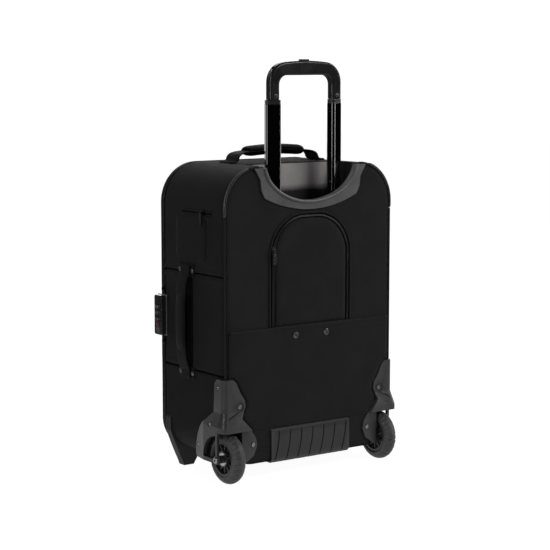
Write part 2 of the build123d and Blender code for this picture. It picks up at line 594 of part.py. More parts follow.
BOLT_LENGTH = GUARD_X - CHEEK_X
with BuildPart() as axle_bolts:
    for side in (1, -1):
        axle = Plane(origin=(side * CHEEK_X, WHEEL_Y, WHEEL_R), x_dir=(0, 1, 0), z_dir=(side, 0, 0))
        with BuildSketch(axle):
            Circle(AXLE_R)
        extrude(amount=BOLT_LENGTH)
        with BuildSketch(axle.offset(BOLT_LENGTH)):
            Circle(5.6)
        extrude(amount=3)
        fillet(axle_bolts.faces().sort_by(Axis.X)[-1 if side > 0 else 0].edges(), 1.4)
        with BuildSketch(axle.offset(BOLT_LENGTH + 1.5)):
            RegularPolygon(2.4, 6)
        extrude(amount=3, mode=Mode.SUBTRACT)
finish("axle_bolts", axle_bolts)

# ---------------------------------------------------------------- skid plate and feet
SKID_HALF_W = 84.0
SKID_TOP_Z = 86.0
SKID_BOTTOM_Z = BOTTOM_Z - PLATE
SKID_Y = BACK_Y + PLATE
GROOVE_PITCH = 24.0
GROOVE = (2.2, 1.4)            # width and depth
with BuildPart() as skid_plate:
    with BuildSketch(Plane.YZ.offset(-SKID_HALF_W)):
        with BuildLine():
            Polyline((BACK_Y, SKID_TOP_Z), (SKID_Y, SKID_TOP_Z - 2), (SKID_Y, SKID_BOTTOM_Z + 5),
                     (SKID_Y - 5, SKID_BOTTOM_Z), (50, SKID_BOTTOM_Z), (50, BOTTOM_Z),
                     (BACK_Y, BOTTOM_Z), close=True)
        make_face()
    extrude(amount=2 * SKID_HALF_W)
    for step in range(7):
        top_x = (step - 3) * GROOVE_PITCH - 4
        with BuildSketch(Plane.XZ.offset(-SKID_Y)):
            with BuildLine():
                ThreePointArc((top_x, SKID_TOP_Z - 5), (top_x + 2.5, 56), (top_x + 11, SKID_BOTTOM_Z))
            trace(line_width=GROOVE[0])
        extrude(amount=GROOVE[1], mode=Mode.SUBTRACT)
        with Locations((top_x + 11, (60 + SKID_Y) / 2, SKID_BOTTOM_Z)):
            Box(GROOVE[0], SKID_Y - 60, 2 * GROOVE[1], mode=Mode.SUBTRACT)
finish("skid_plate", skid_plate)

FOOT_BACK_Y = -75.0
FOOT_FRONT_Y = CASE_FRONT + MAIN_ZIP_W + 0.5
with BuildPart() as front_feet:
    with BuildSketch(Plane.XZ.offset(-FOOT_BACK_Y)):
        with BuildLine():
            outside = Line((HALF_W, 93), (HALF_W + 2.5, 88))
            side_line = Line(outside @ 1, (HALF_W + 2.5, 66))
            sweep_in = ThreePointArc(side_line @ 1, (166, 37), (153, 8))
            sole = Polyline(sweep_in @ 1, (150, 0), (130, 0), (112, BOTTOM_Z - 2), (112, BOTTOM_Z + 4))
            Polyline(sole @ 1, (HALF_W - 4, BOTTOM_Z + 50), outside @ 0)
        make_face()
    extrude(amount=FOOT_BACK_Y - FOOT_FRONT_Y)
    extrude(case_outline(BACK_Y, 0), amount=BACK_Y - CASE_FRONT + 5, mode=Mode.SUBTRACT)
    mirror(about=Plane.YZ)
finish("front_feet", front_feet)

# ---------------------------------------------------------------- piping and outer pockets
PIPING_R = 2.4
PIPING_OUT = 2.5               # its centre line stands this far outside the gusset,
PIPING_IN = 3.0                # and this far in front of the back panel
with BuildPart() as back_piping:
    for side in (1, -1):
        corner_x = HALF_W - TOP_R
        corner_z = TOP_Z - TOP_R
        bend_r = TOP_R + PIPING_OUT
        arc_points = [(side * (corner_x + bend_r * cos(turn)), corner_z + bend_r * sin(turn))
                      for turn in (radians(30), radians(60))]
        with BuildLine(Plane.XZ.offset(PIPING_IN - BACK_Y)) as cord_line:
            edge_x = side * (HALF_W + PIPING_OUT)
            straight = Line((edge_x, GUARD_Z + 2), (edge_x, corner_z))
            ThreePointArc(straight @ 1, *arc_points)
        with BuildSketch(Plane(origin=cord_line.line @ 0, z_dir=cord_line.line % 0)):
            Circle(PIPING_R)
        sweep(path=cord_line.line)
finish("back_piping", back_piping)

ARCH_HALF_W = 80.0             # to the middle of the pocket's zip
ARCH_TOP_Z = 447.0
ARCH_R = 53.0
SEAM_Z = 259.0                 # seam between the arched pocket and the stash pocket
SIDE_X = HALF_W
SIDE_ZIP_Z = 455.0


def arch_shape(grow):
    """An arch standing on the pocket seam, its outline moved outwards by grow."""
    foot_z = SEAM_Z + 3
    top_z = ARCH_TOP_Z + grow
    with BuildSketch() as shape:
        with Locations((0, (foot_z + top_z) / 2)):
            Rectangle(2 * (ARCH_HALF_W + grow), top_z - foot_z)
        fillet(shape.vertices().group_by(Axis.Y)[-1], ARCH_R + grow)
    return shape.sketch


def box_between(low, high):
    """Add a box between two corners to the part being made."""
    with Locations(tuple((a + b) / 2 for a, b in zip(low, high))):
        Box(*[b - a for a, b in zip(low, high)])


# The arched pocket and the stash pocket on the back and the flat one on the left side,
# each a padded panel.
with BuildPart() as outer_pockets:
    with BuildSketch(Plane.XZ.offset(-BACK_Y)):
        add(arch_shape(-ZIP_W / 2 - 2))
    extrude(amount=-3)
    chamfer(outer_pockets.faces().sort_by(Axis.Y)[-1].edges(), 1)
    with BuildSketch(Plane.XZ.offset(-BACK_Y)):
        with Locations((0, (SKID_TOP_Z + 2 + SEAM_Z) / 2)):
            RectangleRounded(2 * HALF_W - 6, SEAM_Z - SKID_TOP_Z - 2, 4)
        with BuildSketch(mode=Mode.PRIVATE) as beside_guard:
            add(guard_outline())
            offset(amount=1)
        add(beside_guard.sketch, mode=Mode.SUBTRACT)
        add(mirror(beside_guard.sketch, about=Plane.YZ), mode=Mode.SUBTRACT)
    extrude(amount=-SKIN)
    with BuildSketch(Plane.YZ.offset(SIDE_X)):
        with Locations((-8.5, 410)):
            RectangleRounded(99, 78, 14)
    extrude(amount=5)
finish("outer_pockets", outer_pockets)


def zip_ring(front_y, back_y):
    """One half of the main zip: a band round three sides of the case."""
    with BuildPart() as ring:
        extrude(case_outline(back_y, -ZIP_H), amount=back_y - front_y)
        extrude(case_outline(back_y, 0), amount=back_y - front_y, mode=Mode.SUBTRACT)
        with Locations((-HALF_W, 0, TOP_Z / 2)):
            Box(60, 400, TOP_Z + 100, mode=Mode.SUBTRACT)
    return ring.part


# The zips sewn to the case: its half of the main zip, and those of the two pockets.
with BuildPart() as case_zips:
    add(zip_ring(CASE_FRONT, CASE_FRONT + MAIN_ZIP_W))
    with BuildSketch(Plane.XZ.offset(-BACK_Y)):
        add(arch_shape(ZIP_W / 2))
        add(arch_shape(-ZIP_W / 2), mode=Mode.SUBTRACT)
    extrude(amount=-ZIP_H)
    box_between((SIDE_X, -36, SIDE_ZIP_Z - ZIP_W / 2), (SIDE_X + ZIP_H, 55, SIDE_ZIP_Z + ZIP_W / 2))
finish("case_zips", case_zips)

# ---------------------------------------------------------------- zip sliders and pulls
SLIDER_LIFT = 0.3              # clearance of a slider over its zip
PULL_HINGE_Y = 2.2             # a pull turns about this line above its slider's middle


def zip_slider(name, plane, zip_angle, lift=SLIDER_LIFT):
    """A zip slider on the plane, whose z points outwards and y up, and its bar."""
    with BuildPart() as slider:
        with BuildSketch(plane.offset(lift)):
            RectangleRounded(11, 7.5, 2.5, rotation=zip_angle)
        extrude(amount=1.8)
        with BuildSketch(plane.offset(lift + 1.8)):
            Rectangle(2.4, 5)
        extrude(amount=2.0)
    finish(f"{name}_slider", slider)


def zip_pull(name, plane, length, lift=SLIDER_LIFT):
    """The pull that hangs from a slider's bar, towards the plane's -y."""
    with BuildPart() as pull:
        with BuildSketch(plane.offset(lift + 4.1)) as pull_face:
            with BuildLine():
                Polyline((-2.2, 2.6), (2.2, 2.6), (3.4, 3 - length), (2.4, -length),
                         (-2.4, -length), (-3.4, 3 - length), close=True)
            make_face()
            with Locations((0, 5 - length)):
                Circle(1.2, mode=Mode.SUBTRACT)
        extrude(amount=1.6)
    finish(f"{name}_pull", pull)


side_zip_plane = Plane(origin=(SIDE_X + ZIP_H, 28, SIDE_ZIP_Z), **FACE_X)
zip_slider("side_zip", side_zip_plane, 0)
zip_pull("side_zip", side_zip_plane, 20)
arch_zip_plane = Plane(origin=(ARCH_HALF_W, BACK_Y + ZIP_H, 392), **FACE_BACK)
zip_slider("arch_zip", arch_zip_plane, 90)
zip_pull("arch_zip", arch_zip_plane, 24)
front_zip_plane = Plane(origin=(-112, POCKET_Y - ZIP_H, FRONT_ZIP_Z), **FACE_FRONT)
zip_slider("front_zip", front_zip_plane, 0)
zip_pull("front_zip", front_zip_plane, 22)
for word, z in (("upper", LOCK_Z + 46), ("lower", LOCK_Z - 46)):
    main_plane = Plane(origin=(HALF_W + ZIP_H, SEAM_Y, z), **FACE_X)
    zip_slider(f"main_zip_{word}", main_plane, 90)

# ---------------------------------------------------------------- carry handles
def band(points, bend, width, thickness, plane):
    """A strap of constant section along a path of runs and tangent arcs."""
    with BuildPart() as strap:
        with BuildLine(plane) as path:
            FilletPolyline(*points, radius=bend)
        with BuildSketch(Plane(origin=path.line @ 0, x_dir=plane.z_dir, z_dir=path.line % 0)):
            RectangleRounded(width, thickness, thickness * 0.35)
        sweep(path=path.line)
    return strap.part


STRAP_W = 38.0
HANDLE_END_X = 88.0
handle_plane = Plane.XZ.offset(-HANDLE_Y)
handle_path = [(-HANDLE_END_X, HANDLE_HINGE_Z + 1), (-64, 552.5), (0, 556), (64, 552.5),
               (HANDLE_END_X, HANDLE_HINGE_Z + 1)]
with BuildPart() as top_handle_strap:
    add(band(handle_path, 60, STRAP_W, WEBBING, handle_plane))
finish("top_handle_strap", top_handle_strap)

with BuildPart() as top_handle_wrap:
    add(band([(-58, 552.8), (0, 556), (58, 552.8)], 200, 34, 17, handle_plane))
    add(band(handle_path, 60, STRAP_W + 1, WEBBING, handle_plane), mode=Mode.SUBTRACT)
finish("top_handle_wrap", top_handle_wrap)

SIDE_STRAP_W = 28.0
SIDE_END = 74.0
side_plane = Plane(origin=(0, SIDE_HANDLE_Y, 0), x_dir=(1, 0, 0), z_dir=(0, -1, 0))
side_path = [(SIDE_HINGE_X + 1, SIDE_HANDLE_Z - SIDE_END), (189, SIDE_HANDLE_Z - 50),
             (190, SIDE_HANDLE_Z), (189, SIDE_HANDLE_Z + 50), (SIDE_HINGE_X + 1, SIDE_HANDLE_Z + SIDE_END)]
side_grip_path = [(189.2, SIDE_HANDLE_Z - 46), (190, SIDE_HANDLE_Z), (189.2, SIDE_HANDLE_Z + 46)]
with BuildPart() as side_handle_strap:
    add(band(side_path, 40, SIDE_STRAP_W, WEBBING, side_plane))
finish("side_handle_strap", side_handle_strap)

with BuildPart() as side_handle_wrap:
    add(band(side_grip_path, 300, 26, 9, side_plane))
    add(band(side_path, 40, SIDE_STRAP_W + 1, WEBBING, side_plane), mode=Mode.SUBTRACT)
finish("side_handle_wrap", side_handle_wrap)

# Patches sewn to the case's top and side, each with a lug that its handle's strap turns on.
ANCHOR = 2.0                   # thickness of the patches on the top
SIDE_ANCHOR = 3.0
with BuildPart() as handle_anchors:
    for side in (1, -1):
        with Locations((side * 94, HANDLE_Y, TOP_Z)):
            Box(40, STRAP_W + 4, 40)
    extrude(case_outline(BACK_Y, -ANCHOR), amount=BACK_Y - CASE_FRONT, mode=Mode.INTERSECT)
    extrude(case_outline(BACK_Y, 0), amount=BACK_Y - CASE_FRONT, mode=Mode.SUBTRACT)
    for side in (1, -1):
        box_between((side * HANDLE_END_X - 1.5, HANDLE_Y - 4.5, TOP_Z + 1),
                    (side * HANDLE_END_X + 1.5, HANDLE_Y + 4.5, HANDLE_HINGE_Z - 1.6))
    for end in (1, -1):
        with BuildSketch(Plane.YZ.offset(SIDE_X)):
            with Locations((SIDE_HANDLE_Y, SIDE_HANDLE_Z + end * SIDE_REACH)):
                RectangleRounded(50, 24, 4)
        extrude(amount=SIDE_ANCHOR)
        with Locations((SIDE_HINGE_X - 3.5, SIDE_HANDLE_Y, SIDE_HANDLE_Z + end * (SIDE_END + 4))):
            Box(8, 9, 3)
finish("handle_anchors", handle_anchors)

# ---------------------------------------------------------------- fasteners of the case
RIVET_GAP = 37.0
SNAP_X = 33.0
SNAP_Z = 244.0
with BuildPart() as case_fasteners:
    # Rivets of the side handle's patches, and the two snaps of the stash pocket.
    for end in (1, -1):
        for place in (1, -1):
            spot = (SIDE_X + SIDE_ANCHOR, SIDE_HANDLE_Y + place * RIVET_GAP / 2,
                    SIDE_HANDLE_Z + end * SIDE_REACH)
            with Locations(Plane(origin=spot, **FACE_X)):
                Cylinder(3.6, 1.5, align=(Align.CENTER, Align.CENTER, Align.MIN))
    fillet(case_fasteners.faces().sort_by(Axis.X)[-4:].edges(), 0.9)
    for side in (1, -1):
        with Locations(Plane(origin=(side * SNAP_X, BACK_Y + SKIN, SNAP_Z), **FACE_BACK)):
            Cylinder(5.5, 1.8, align=(Align.CENTER, Align.CENTER, Align.MIN))
    fillet(case_fasteners.faces().sort_by(Axis.Y)[-2:].edges(), 0.8)
    # Screws of the wheel guards, and the axle nuts let into their inner cheeks.
    for side in (1, -1):
        for x, z, seat_y in BACK_SCREWS:
            with Locations(Plane(origin=(side * x, seat_y, z), **FACE_BACK)):
                add(screw_head(3.4, 1.8))
        for y, z, seat_x in SIDE_SCREWS:
            with Locations(Plane(origin=(side * seat_x, y, z), x_dir=(0, 1, 0), z_dir=(side, 0, 0))):
                add(screw_head(3.4, 1.8))
        with BuildSketch(Plane(origin=(side * CHEEK_X, WHEEL_Y, WHEEL_R), x_dir=(0, 1, 0),
                               z_dir=(side, 0, 0))):
            RegularPolygon(NUT_R, 6)
            Circle(AXLE_R, mode=Mode.SUBTRACT)
        extrude(amount=NUT_W)
finish("case_fasteners", case_fasteners)

# ---------------------------------------------------------------- combination lock
LOCK_BACK_Y = -84.0
LOCK_FRONT_Y = -111.0
LOCK_TOP_Z = LOCK_Z + 36
LOCK_BOTTOM_Z = LOCK_Z - 36
PLATE_X = HALF_W + 2.6         # the lock's plate clears the case half of the zip
HOUSING_X = PLATE_X + 1.6
FACE_PLATE_X = 188.2
KEY_Z = 243.0
KEY_R = 4.55
RELEASE_Z = 252.5
DIAL_MID_Z = (DIAL_ZS[0] + DIAL_ZS[-1]) / 2
with BuildPart() as lock_base:
    box_between((HALF_W, LOCK_FRONT_Y + 0.5, LOCK_BOTTOM_Z + 3), (PLATE_X, -101, LOCK_TOP_Z - 3))
    box_between((PLATE_X, LOCK_FRONT_Y, LOCK_BOTTOM_Z), (HOUSING_X, LOCK_BACK_Y, LOCK_TOP_Z))
finish("lock_base", lock_base)

# The housing, with the axle of the dials across its three slots.
with BuildPart() as lock_housing:
    box_between((HOUSING_X, LOCK_FRONT_Y + 1, LOCK_BOTTOM_Z + 1),
                (FACE_PLATE_X, LOCK_BACK_Y - 1, LOCK_TOP_Z - 1))
    fillet(lock_housing.edges().filter_by(Axis.X), 4)
    fillet(lock_housing.faces().sort_by(Axis.X)[-1].edges(), 1.5)
    for z in DIAL_ZS:
        with Locations((DIAL_X, DIAL_Y, z)):
            Box(20, 2 * DIAL_R + 1.6, 7.6, mode=Mode.SUBTRACT)
    with Locations(Plane(origin=(HOUSING_X, DIAL_Y, KEY_Z), **FACE_X)):
        Cylinder(KEY_R + 0.05, 20, mode=Mode.SUBTRACT)
    with Locations((DIAL_X, DIAL_Y, RELEASE_Z)):
        Box(20, 9.4, 5.4, mode=Mode.SUBTRACT)
    with Locations((DIAL_X, DIAL_Y, DIAL_MID_Z)):
        Cylinder(DIAL_AXLE_R, 32)
finish("lock_housing", lock_housing)

for number, z in enumerate(DIAL_ZS, start=1):
    with BuildPart() as lock_dial:
        with Locations((DIAL_X, DIAL_Y, z)):
            Cylinder(DIAL_R, 6.8)
            Cylinder(DIAL_AXLE_R + 0.05, 8, mode=Mode.SUBTRACT)
        with BuildSketch(Plane.XY.offset(z - 4)):
            with Locations((DIAL_X, DIAL_Y)):
                with PolarLocations(DIAL_R + 0.2, 10, start_angle=18):
                    Circle(0.7)
        extrude(amount=8, mode=Mode.SUBTRACT)
    finish(f"lock_dial_{number}", lock_dial)

with BuildPart() as lock_release:
    box_between((HOUSING_X + 2.5, DIAL_Y - 4.5, RELEASE_Z - 2.5),
                (FACE_PLATE_X + 1.2, DIAL_Y + 4.5, RELEASE_Z + 2.5))
    fillet(lock_release.faces().sort_by(Axis.X)[-1].edges(), 0.8)
finish("lock_release", lock_release)

with BuildPart() as key_cylinder:
    with Locations(Plane(origin=(HOUSING_X + 0.3, DIAL_Y, KEY_Z), **FACE_X)):
        Cylinder(KEY_R, FACE_PLATE_X - HOUSING_X, align=(Align.CENTER, Align.CENTER, Align.MIN))
        with Locations((0, 0, FACE_PLATE_X - HOUSING_X)):
            Box(1.2, 5.4, 5, mode=Mode.SUBTRACT)
finish("key_cylinder", key_cylinder)

# ---------------------------------------------------------------- lid
LID_BACK = SEAM_Y - SEAM_GAP
LID_ROUND = 12.0
with BuildPart() as lid_inside:
    extrude(case_outline(LID_BACK + 1, SKIN), amount=LID_BACK + 1 - LID_Y - SKIN)
    fillet(lid_inside.faces().sort_by(Axis.Y)[0].edges(), LID_ROUND - SKIN)

with BuildPart() as lid_shell:
    extrude(case_outline(LID_BACK, 0), amount=LID_BACK - LID_Y)
    fillet(lid_shell.faces().sort_by(Axis.Y)[0].edges(), LID_ROUND)
    add(lid_inside.part, mode=Mode.SUBTRACT)
finish("lid_shell", lid_shell)

# A flat padded pocket over the whole front of the lid.
with BuildPart() as front_pocket:
    extrude(case_outline(LID_Y, 20), amount=LID_Y - POCKET_Y)
    fillet(front_pocket.faces().sort_by(Axis.Y)[0].edges(), 3)
finish("front_pocket", front_pocket)

SLEEVE_FRONT_Y = LID_Y + SKIN
SLEEVE_BACK_Y = -91.5
SLEEVE_Y = (SLEEVE_FRONT_Y + SLEEVE_BACK_Y) / 2
SLEEVE_D = SLEEVE_BACK_Y - SLEEVE_FRONT_Y
SLEEVE_WALL = 2.0
with BuildPart() as laptop_sleeve:
    box_between((-142, SLEEVE_FRONT_Y, 60), (142, SLEEVE_BACK_Y, 420))
    with Locations((0, SLEEVE_Y, 60 + SLEEVE_WALL)):
        Box(284 - 2 * SLEEVE_WALL, SLEEVE_D - 2 * SLEEVE_WALL, 400,
            align=(Align.CENTER, Align.CENTER, Align.MIN), mode=Mode.SUBTRACT)
finish("laptop_sleeve", laptop_sleeve)

# The zips sewn to the lid: its half of the main zip, and the front pocket's.
with BuildPart() as lid_zips:
    add(zip_ring(LID_BACK - MAIN_ZIP_W, LID_BACK))
    box_between((-125, POCKET_Y - ZIP_H, FRONT_ZIP_Z - ZIP_W / 2), (125, POCKET_Y, FRONT_ZIP_Z + ZIP_W / 2))
finish("lid_zips", lid_zips)

# ---------------------------------------------------------------- padded dividers
CELL_FRONT_Y = -90.0
CELL_BACK_Y = TUNNEL_Y - 0.5
with BuildPart() as padded_dividers:
    box_between((-4, CELL_FRONT_Y, 36), (4, CELL_BACK_Y, 430))
    box_between((4.3, CELL_FRONT_Y, 300), (160, CELL_BACK_Y, 306))
    box_between((-160, CELL_FRONT_Y, 190), (-4.3, CELL_BACK_Y, 196))
    fillet(padded_dividers.edges().filter_by(Axis.Y), 1.2)
finish("padded_dividers", padded_dividers)
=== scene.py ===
"""Looks of a soft-sided rolling laptop case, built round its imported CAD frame.

Metres, +Z up, +Y the back with the wheels and the pull handle, +X the side with the lock.
"""
from math import cos, exp, hypot, pi, radians, sin

import bmesh
import bpy
from mathutils import Matrix, Vector, noise
from mathutils.bvhtree import BVHTree


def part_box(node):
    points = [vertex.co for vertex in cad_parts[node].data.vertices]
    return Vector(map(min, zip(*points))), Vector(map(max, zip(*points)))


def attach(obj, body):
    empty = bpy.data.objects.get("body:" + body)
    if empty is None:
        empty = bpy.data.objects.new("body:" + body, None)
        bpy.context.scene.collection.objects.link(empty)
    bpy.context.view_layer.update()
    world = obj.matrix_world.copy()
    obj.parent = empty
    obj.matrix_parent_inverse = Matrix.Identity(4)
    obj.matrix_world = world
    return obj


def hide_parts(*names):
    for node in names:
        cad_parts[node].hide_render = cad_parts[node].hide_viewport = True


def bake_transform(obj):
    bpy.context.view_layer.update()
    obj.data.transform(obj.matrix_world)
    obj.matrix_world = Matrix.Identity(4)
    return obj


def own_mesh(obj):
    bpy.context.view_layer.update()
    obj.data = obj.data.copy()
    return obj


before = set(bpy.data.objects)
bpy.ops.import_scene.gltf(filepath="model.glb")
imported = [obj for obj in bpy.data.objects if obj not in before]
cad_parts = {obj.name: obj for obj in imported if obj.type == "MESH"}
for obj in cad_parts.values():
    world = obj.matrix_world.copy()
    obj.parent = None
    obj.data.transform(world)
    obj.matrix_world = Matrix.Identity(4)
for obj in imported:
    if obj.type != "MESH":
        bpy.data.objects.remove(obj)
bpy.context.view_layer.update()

MM = 0.001
AXIS_X = Vector((1, 0, 0))
AXIS_Y = Vector((0, 1, 0))
AXIS_Z = Vector((0, 0, 1))
SIDES = ((1, "left"), (-1, "right"))

# ---- places, from the frame
GUSSET_LOW, GUSSET_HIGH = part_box("outer_gusset")
LID_LOW, LID_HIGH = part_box("lid_shell")
TUB_LOW, TUB_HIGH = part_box("handle_tub")
SLEEVE_LOW, SLEEVE_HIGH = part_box("laptop_sleeve")
TYRE_LOW, TYRE_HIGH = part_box("tyre_left")
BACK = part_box("back_panel")[1].y
POCKET_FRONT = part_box("front_pocket")[0].y
SKID_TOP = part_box("skid_plate")[1].z
GUARD_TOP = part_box("wheel_guard_left")[1].z

HALF_W = GUSSET_HIGH.x
BOTTOM = GUSSET_LOW.z
TOP = GUSSET_HIGH.z
CASE_FRONT = GUSSET_LOW.y
SEAM_Y = (CASE_FRONT + LID_HIGH.y) / 2      # between case and lid
TOP_R = 68 * MM                # the case's corners
BOTTOM_R = 55 * MM
FABRIC = 1.2 * MM              # thickness of the nylon
CELL = 3.0 * MM                # grid size of the soft panels
STEP = 3.5 * MM                # spacing of points round the case

WELL_X = 142 * MM              # corner notches that hold the wheels
WELL_Y = 30 * MM
WELL_Z = 96 * MM
SCOOP = (540 * MM, 96 * MM, 66 * MM)      # height and half axes of the cut in the top edge
TUB_CORNER = 24 * MM
POCKET_SEAM_Z = 259 * MM       # top of the stash pocket
ARCH_HALF_W = 80 * MM          # middle of the arched pocket's zip
ARCH_TOP = 447 * MM
ARCH_R = 66 * MM
ARCH_FOOT = POCKET_SEAM_Z + 3 * MM
SIDE_ZIP = (-36 * MM, 55 * MM, 455 * MM)                     # its ends in Y, and its height
SIDE_POCKET = (-8.5 * MM, 410 * MM, 49.5 * MM, 39 * MM)      # its middle and half sizes
SIDE_SEAMS = (185 * MM, 350 * MM)
FRONT_ZIP = (-125 * MM, 125 * MM, 440 * MM)                  # its ends in X, and its height
FRONT_INSET = 20 * MM          # of the front pocket inside the case's outline
HANDLE_Y = -16 * MM
SIDE_HANDLE_Y = -22 * MM
SIDE_HANDLE_Z = 266.5 * MM


# ---- node helpers
class Nodes:
    """Adds shader nodes to a material and links them."""

    def __init__(self, name):
        self.material = bpy.data.materials.new(name)
        self.material.use_nodes = True
        self.tree = self.material.node_tree
        self.shader = self.tree.nodes["Principled BSDF"]

    def add(self, kind, inputs=None, **settings):
        node = self.tree.nodes.new(kind)
        for key, value in settings.items():
            setattr(node, key, value)
        for key, value in (inputs or {}).items():
            if isinstance(value, bpy.types.NodeSocket):
                self.tree.links.new(value, node.inputs[key])
            else:
                node.inputs[key].default_value = value
        return node

    def math(self, operation, a, b=0.0, c=0.0):
        return self.add("ShaderNodeMath", {0: a, 1: b, 2: c}, operation=operation).outputs[0]

    def set(self, **values):
        for key, value in values.items():
            self.shader.inputs[key.replace("_", " ")].default_value = value

    def noise(self, coords, scale, detail=3.0, roughness=0.5):
        node = self.add("ShaderNodeTexNoise",
                        {"Vector": coords, "Scale": scale, "Detail": detail, "Roughness": roughness})
        return node.outputs["Fac"]

    def ramp(self, factor, low, high, out_low=0.0, out_high=1.0):
        node = self.add("ShaderNodeMapRange", {"Value": factor, "From Min": low, "From Max": high,
                                               "To Min": out_low, "To Max": out_high})
        return node.outputs["Result"]

    def mix(self, factor, a, b):
        """A blend of two colours: sockets 0, 6 and 7 of a mix node, and its output 2."""
        return self.add("ShaderNodeMix", {0: factor, 6: a, 7: b}, data_type="RGBA").outputs[2]

    def tones(self, factor, value, dark, light, warm=0.0):
        """Greys between dark and light times a value."""
        return self.mix(factor, grey(value * dark, warm), grey(value * light, warm))

    def worn_edges(self, slow, wander, low, high):
        """1 on sharp edges and 0 elsewhere, with an uneven border."""
        pointed = self.add("ShaderNodeNewGeometry").outputs["Pointiness"]
        return self.ramp(self.math("MULTIPLY_ADD", slow, wander, pointed), low, high)

    def object_coords(self):
        return self.add("ShaderNodeTexCoord").outputs["Object"]

    def uv_coords(self):
        return self.add("ShaderNodeUVMap", uv_map="UVMap").outputs["UV"]

    def finish(self, base, roughness, height, strength, depth, **values):
        """Link colour, roughness and bump, set the other values, and give back the material."""
        bump = self.add("ShaderNodeBump", {"Height": height, "Strength": strength, "Distance": depth})
        for socket, name in ((base, "Base Color"), (roughness, "Roughness"),
                             (bump.outputs["Normal"], "Normal")):
            self.tree.links.new(socket, self.shader.inputs[name])
        self.set(**values)
        return self.material


def grey(value, warm=0.0):
    """A linear grey, leaning to red as warm grows."""
    return (value * (1 + warm), value, value * (1 - warm), 1.0)


def woven(name, value, thread, roughness=0.85, weave_depth=0.22 * MM, use_uv=True, sheen=0.12,
          specular=0.14):
    """Nylon cloth: a plain weave of threads, sheen, and slow changes of tone.

    The threads follow the UV map, or X and Z on a CAD piece, which has no such map.
    """
    n = Nodes(name)
    coords = n.uv_coords() if use_uv else n.object_coords()
    split = n.add("ShaderNodeSeparateXYZ", {0: coords})
    per_metre = 2 * pi / thread
    u = n.math("MULTIPLY", split.outputs[0], per_metre)
    v = n.math("MULTIPLY", split.outputs[1 if use_uv else 2], per_metre)
    weave = n.math("MULTIPLY", n.math("SINE", u), n.math("SINE", v))
    fibre = n.noise(coords, 900.0, 2.0)
    soft = n.noise(coords, 14.0, 4.0, 0.6)
    fine = n.noise(coords, 160.0, 3.0, 0.6)
    tone = n.math("MULTIPLY_ADD", fine, 0.35, n.math("MULTIPLY_ADD", weave, 0.10, soft))
    return n.finish(n.tones(n.ramp(tone, 0.35, 1.05), value, 0.72, 1.32),
                    n.ramp(fine, 0.3, 0.8, roughness - 0.08, roughness + 0.06),
                    n.math("MULTIPLY_ADD", fibre, 0.5, weave), 0.55, weave_depth,
                    Sheen_Weight=sheen, Sheen_Roughness=0.45, Sheen_Tint=(1.0, 1.0, 1.0, 1.0),
                    Specular_IOR_Level=specular)


def moulded(name, value, roughness=0.42, warm=0.0, edge=1.6, coat=0.0, specular=0.5):
    """Moulded plastic: a spark-eroded grain, sharp edges edge times as light for wear and as a painted
    highlight, slow changes of gloss.
    """
    n = Nodes(name)
    coords = n.object_coords()
    fine = n.noise(coords, 1400.0, 3.0, 0.7)
    slow = n.noise(coords, 22.0, 4.0, 0.6)
    base = n.tones(n.ramp(slow, 0.3, 0.75), value, 0.86, 1.12, warm)
    # sharp edges lighter: partly wear, partly a painted highlight where the edges catch the light
    rubbed_and_lit = n.worn_edges(slow, 0.03, 0.525, 0.60)
    return n.finish(n.mix(rubbed_and_lit, base, grey(value * edge, warm)),
                    n.ramp(slow, 0.3, 0.75, roughness - 0.05, roughness + 0.08),
                    fine, 0.35, 0.08 * MM,
                    Coat_Weight=coat, Coat_Roughness=0.2, Specular_IOR_Level=specular)


def enamel(name, value, roughness):
    """Gloss black enamel on metal, with faint lengthwise draw marks and smears."""
    n = Nodes(name)
    coords = n.object_coords()
    stretched = n.add("ShaderNodeMapping", {"Vector": coords, "Scale": (900.0, 900.0, 12.0)}).outputs[0]
    draw = n.noise(stretched, 1.0, 2.0)
    smear = n.noise(coords, 9.0, 5.0, 0.65)
    marks = n.math("MULTIPLY_ADD", draw, 0.4, smear)
    return n.finish(n.tones(smear, value, 0.8, 1.25),
                    n.ramp(marks, 0.4, 1.0, roughness * 0.7, roughness * 1.5),
                    draw, 0.06, 0.04 * MM, Coat_Weight=1.0, Coat_Roughness=0.05)


def metal(name, value, roughness):
    """Bare or blackened steel with fine turning marks."""
    n = Nodes(name)
    coords = n.object_coords()
    fine = n.noise(coords, 1100.0, 3.0)
    slow = n.noise(coords, 60.0, 3.0)
    return n.finish(n.tones(slow, value, 0.75, 1.2),
                    n.ramp(fine, 0.3, 0.7, roughness * 0.75, roughness * 1.3),
                    fine, 0.15, 0.03 * MM, Metallic=1.0)


def rubber(name, value):
    """Solid tyre: dull, slowly uneven in tone, scuffed on its crown."""
    n = Nodes(name)
    coords = n.object_coords()
    fine = n.noise(coords, 700.0, 4.0, 0.7)
    slow = n.noise(coords, 45.0, 5.0, 0.7)
    base = n.tones(n.ramp(slow, 0.3, 0.7), value, 0.7, 1.15)
    return n.finish(n.mix(n.worn_edges(slow, 0.05, 0.52, 0.58), base, grey(value * 1.7)),
                    n.ramp(slow, 0.3, 0.7, 0.45, 0.68), fine, 0.3, 0.12 * MM)


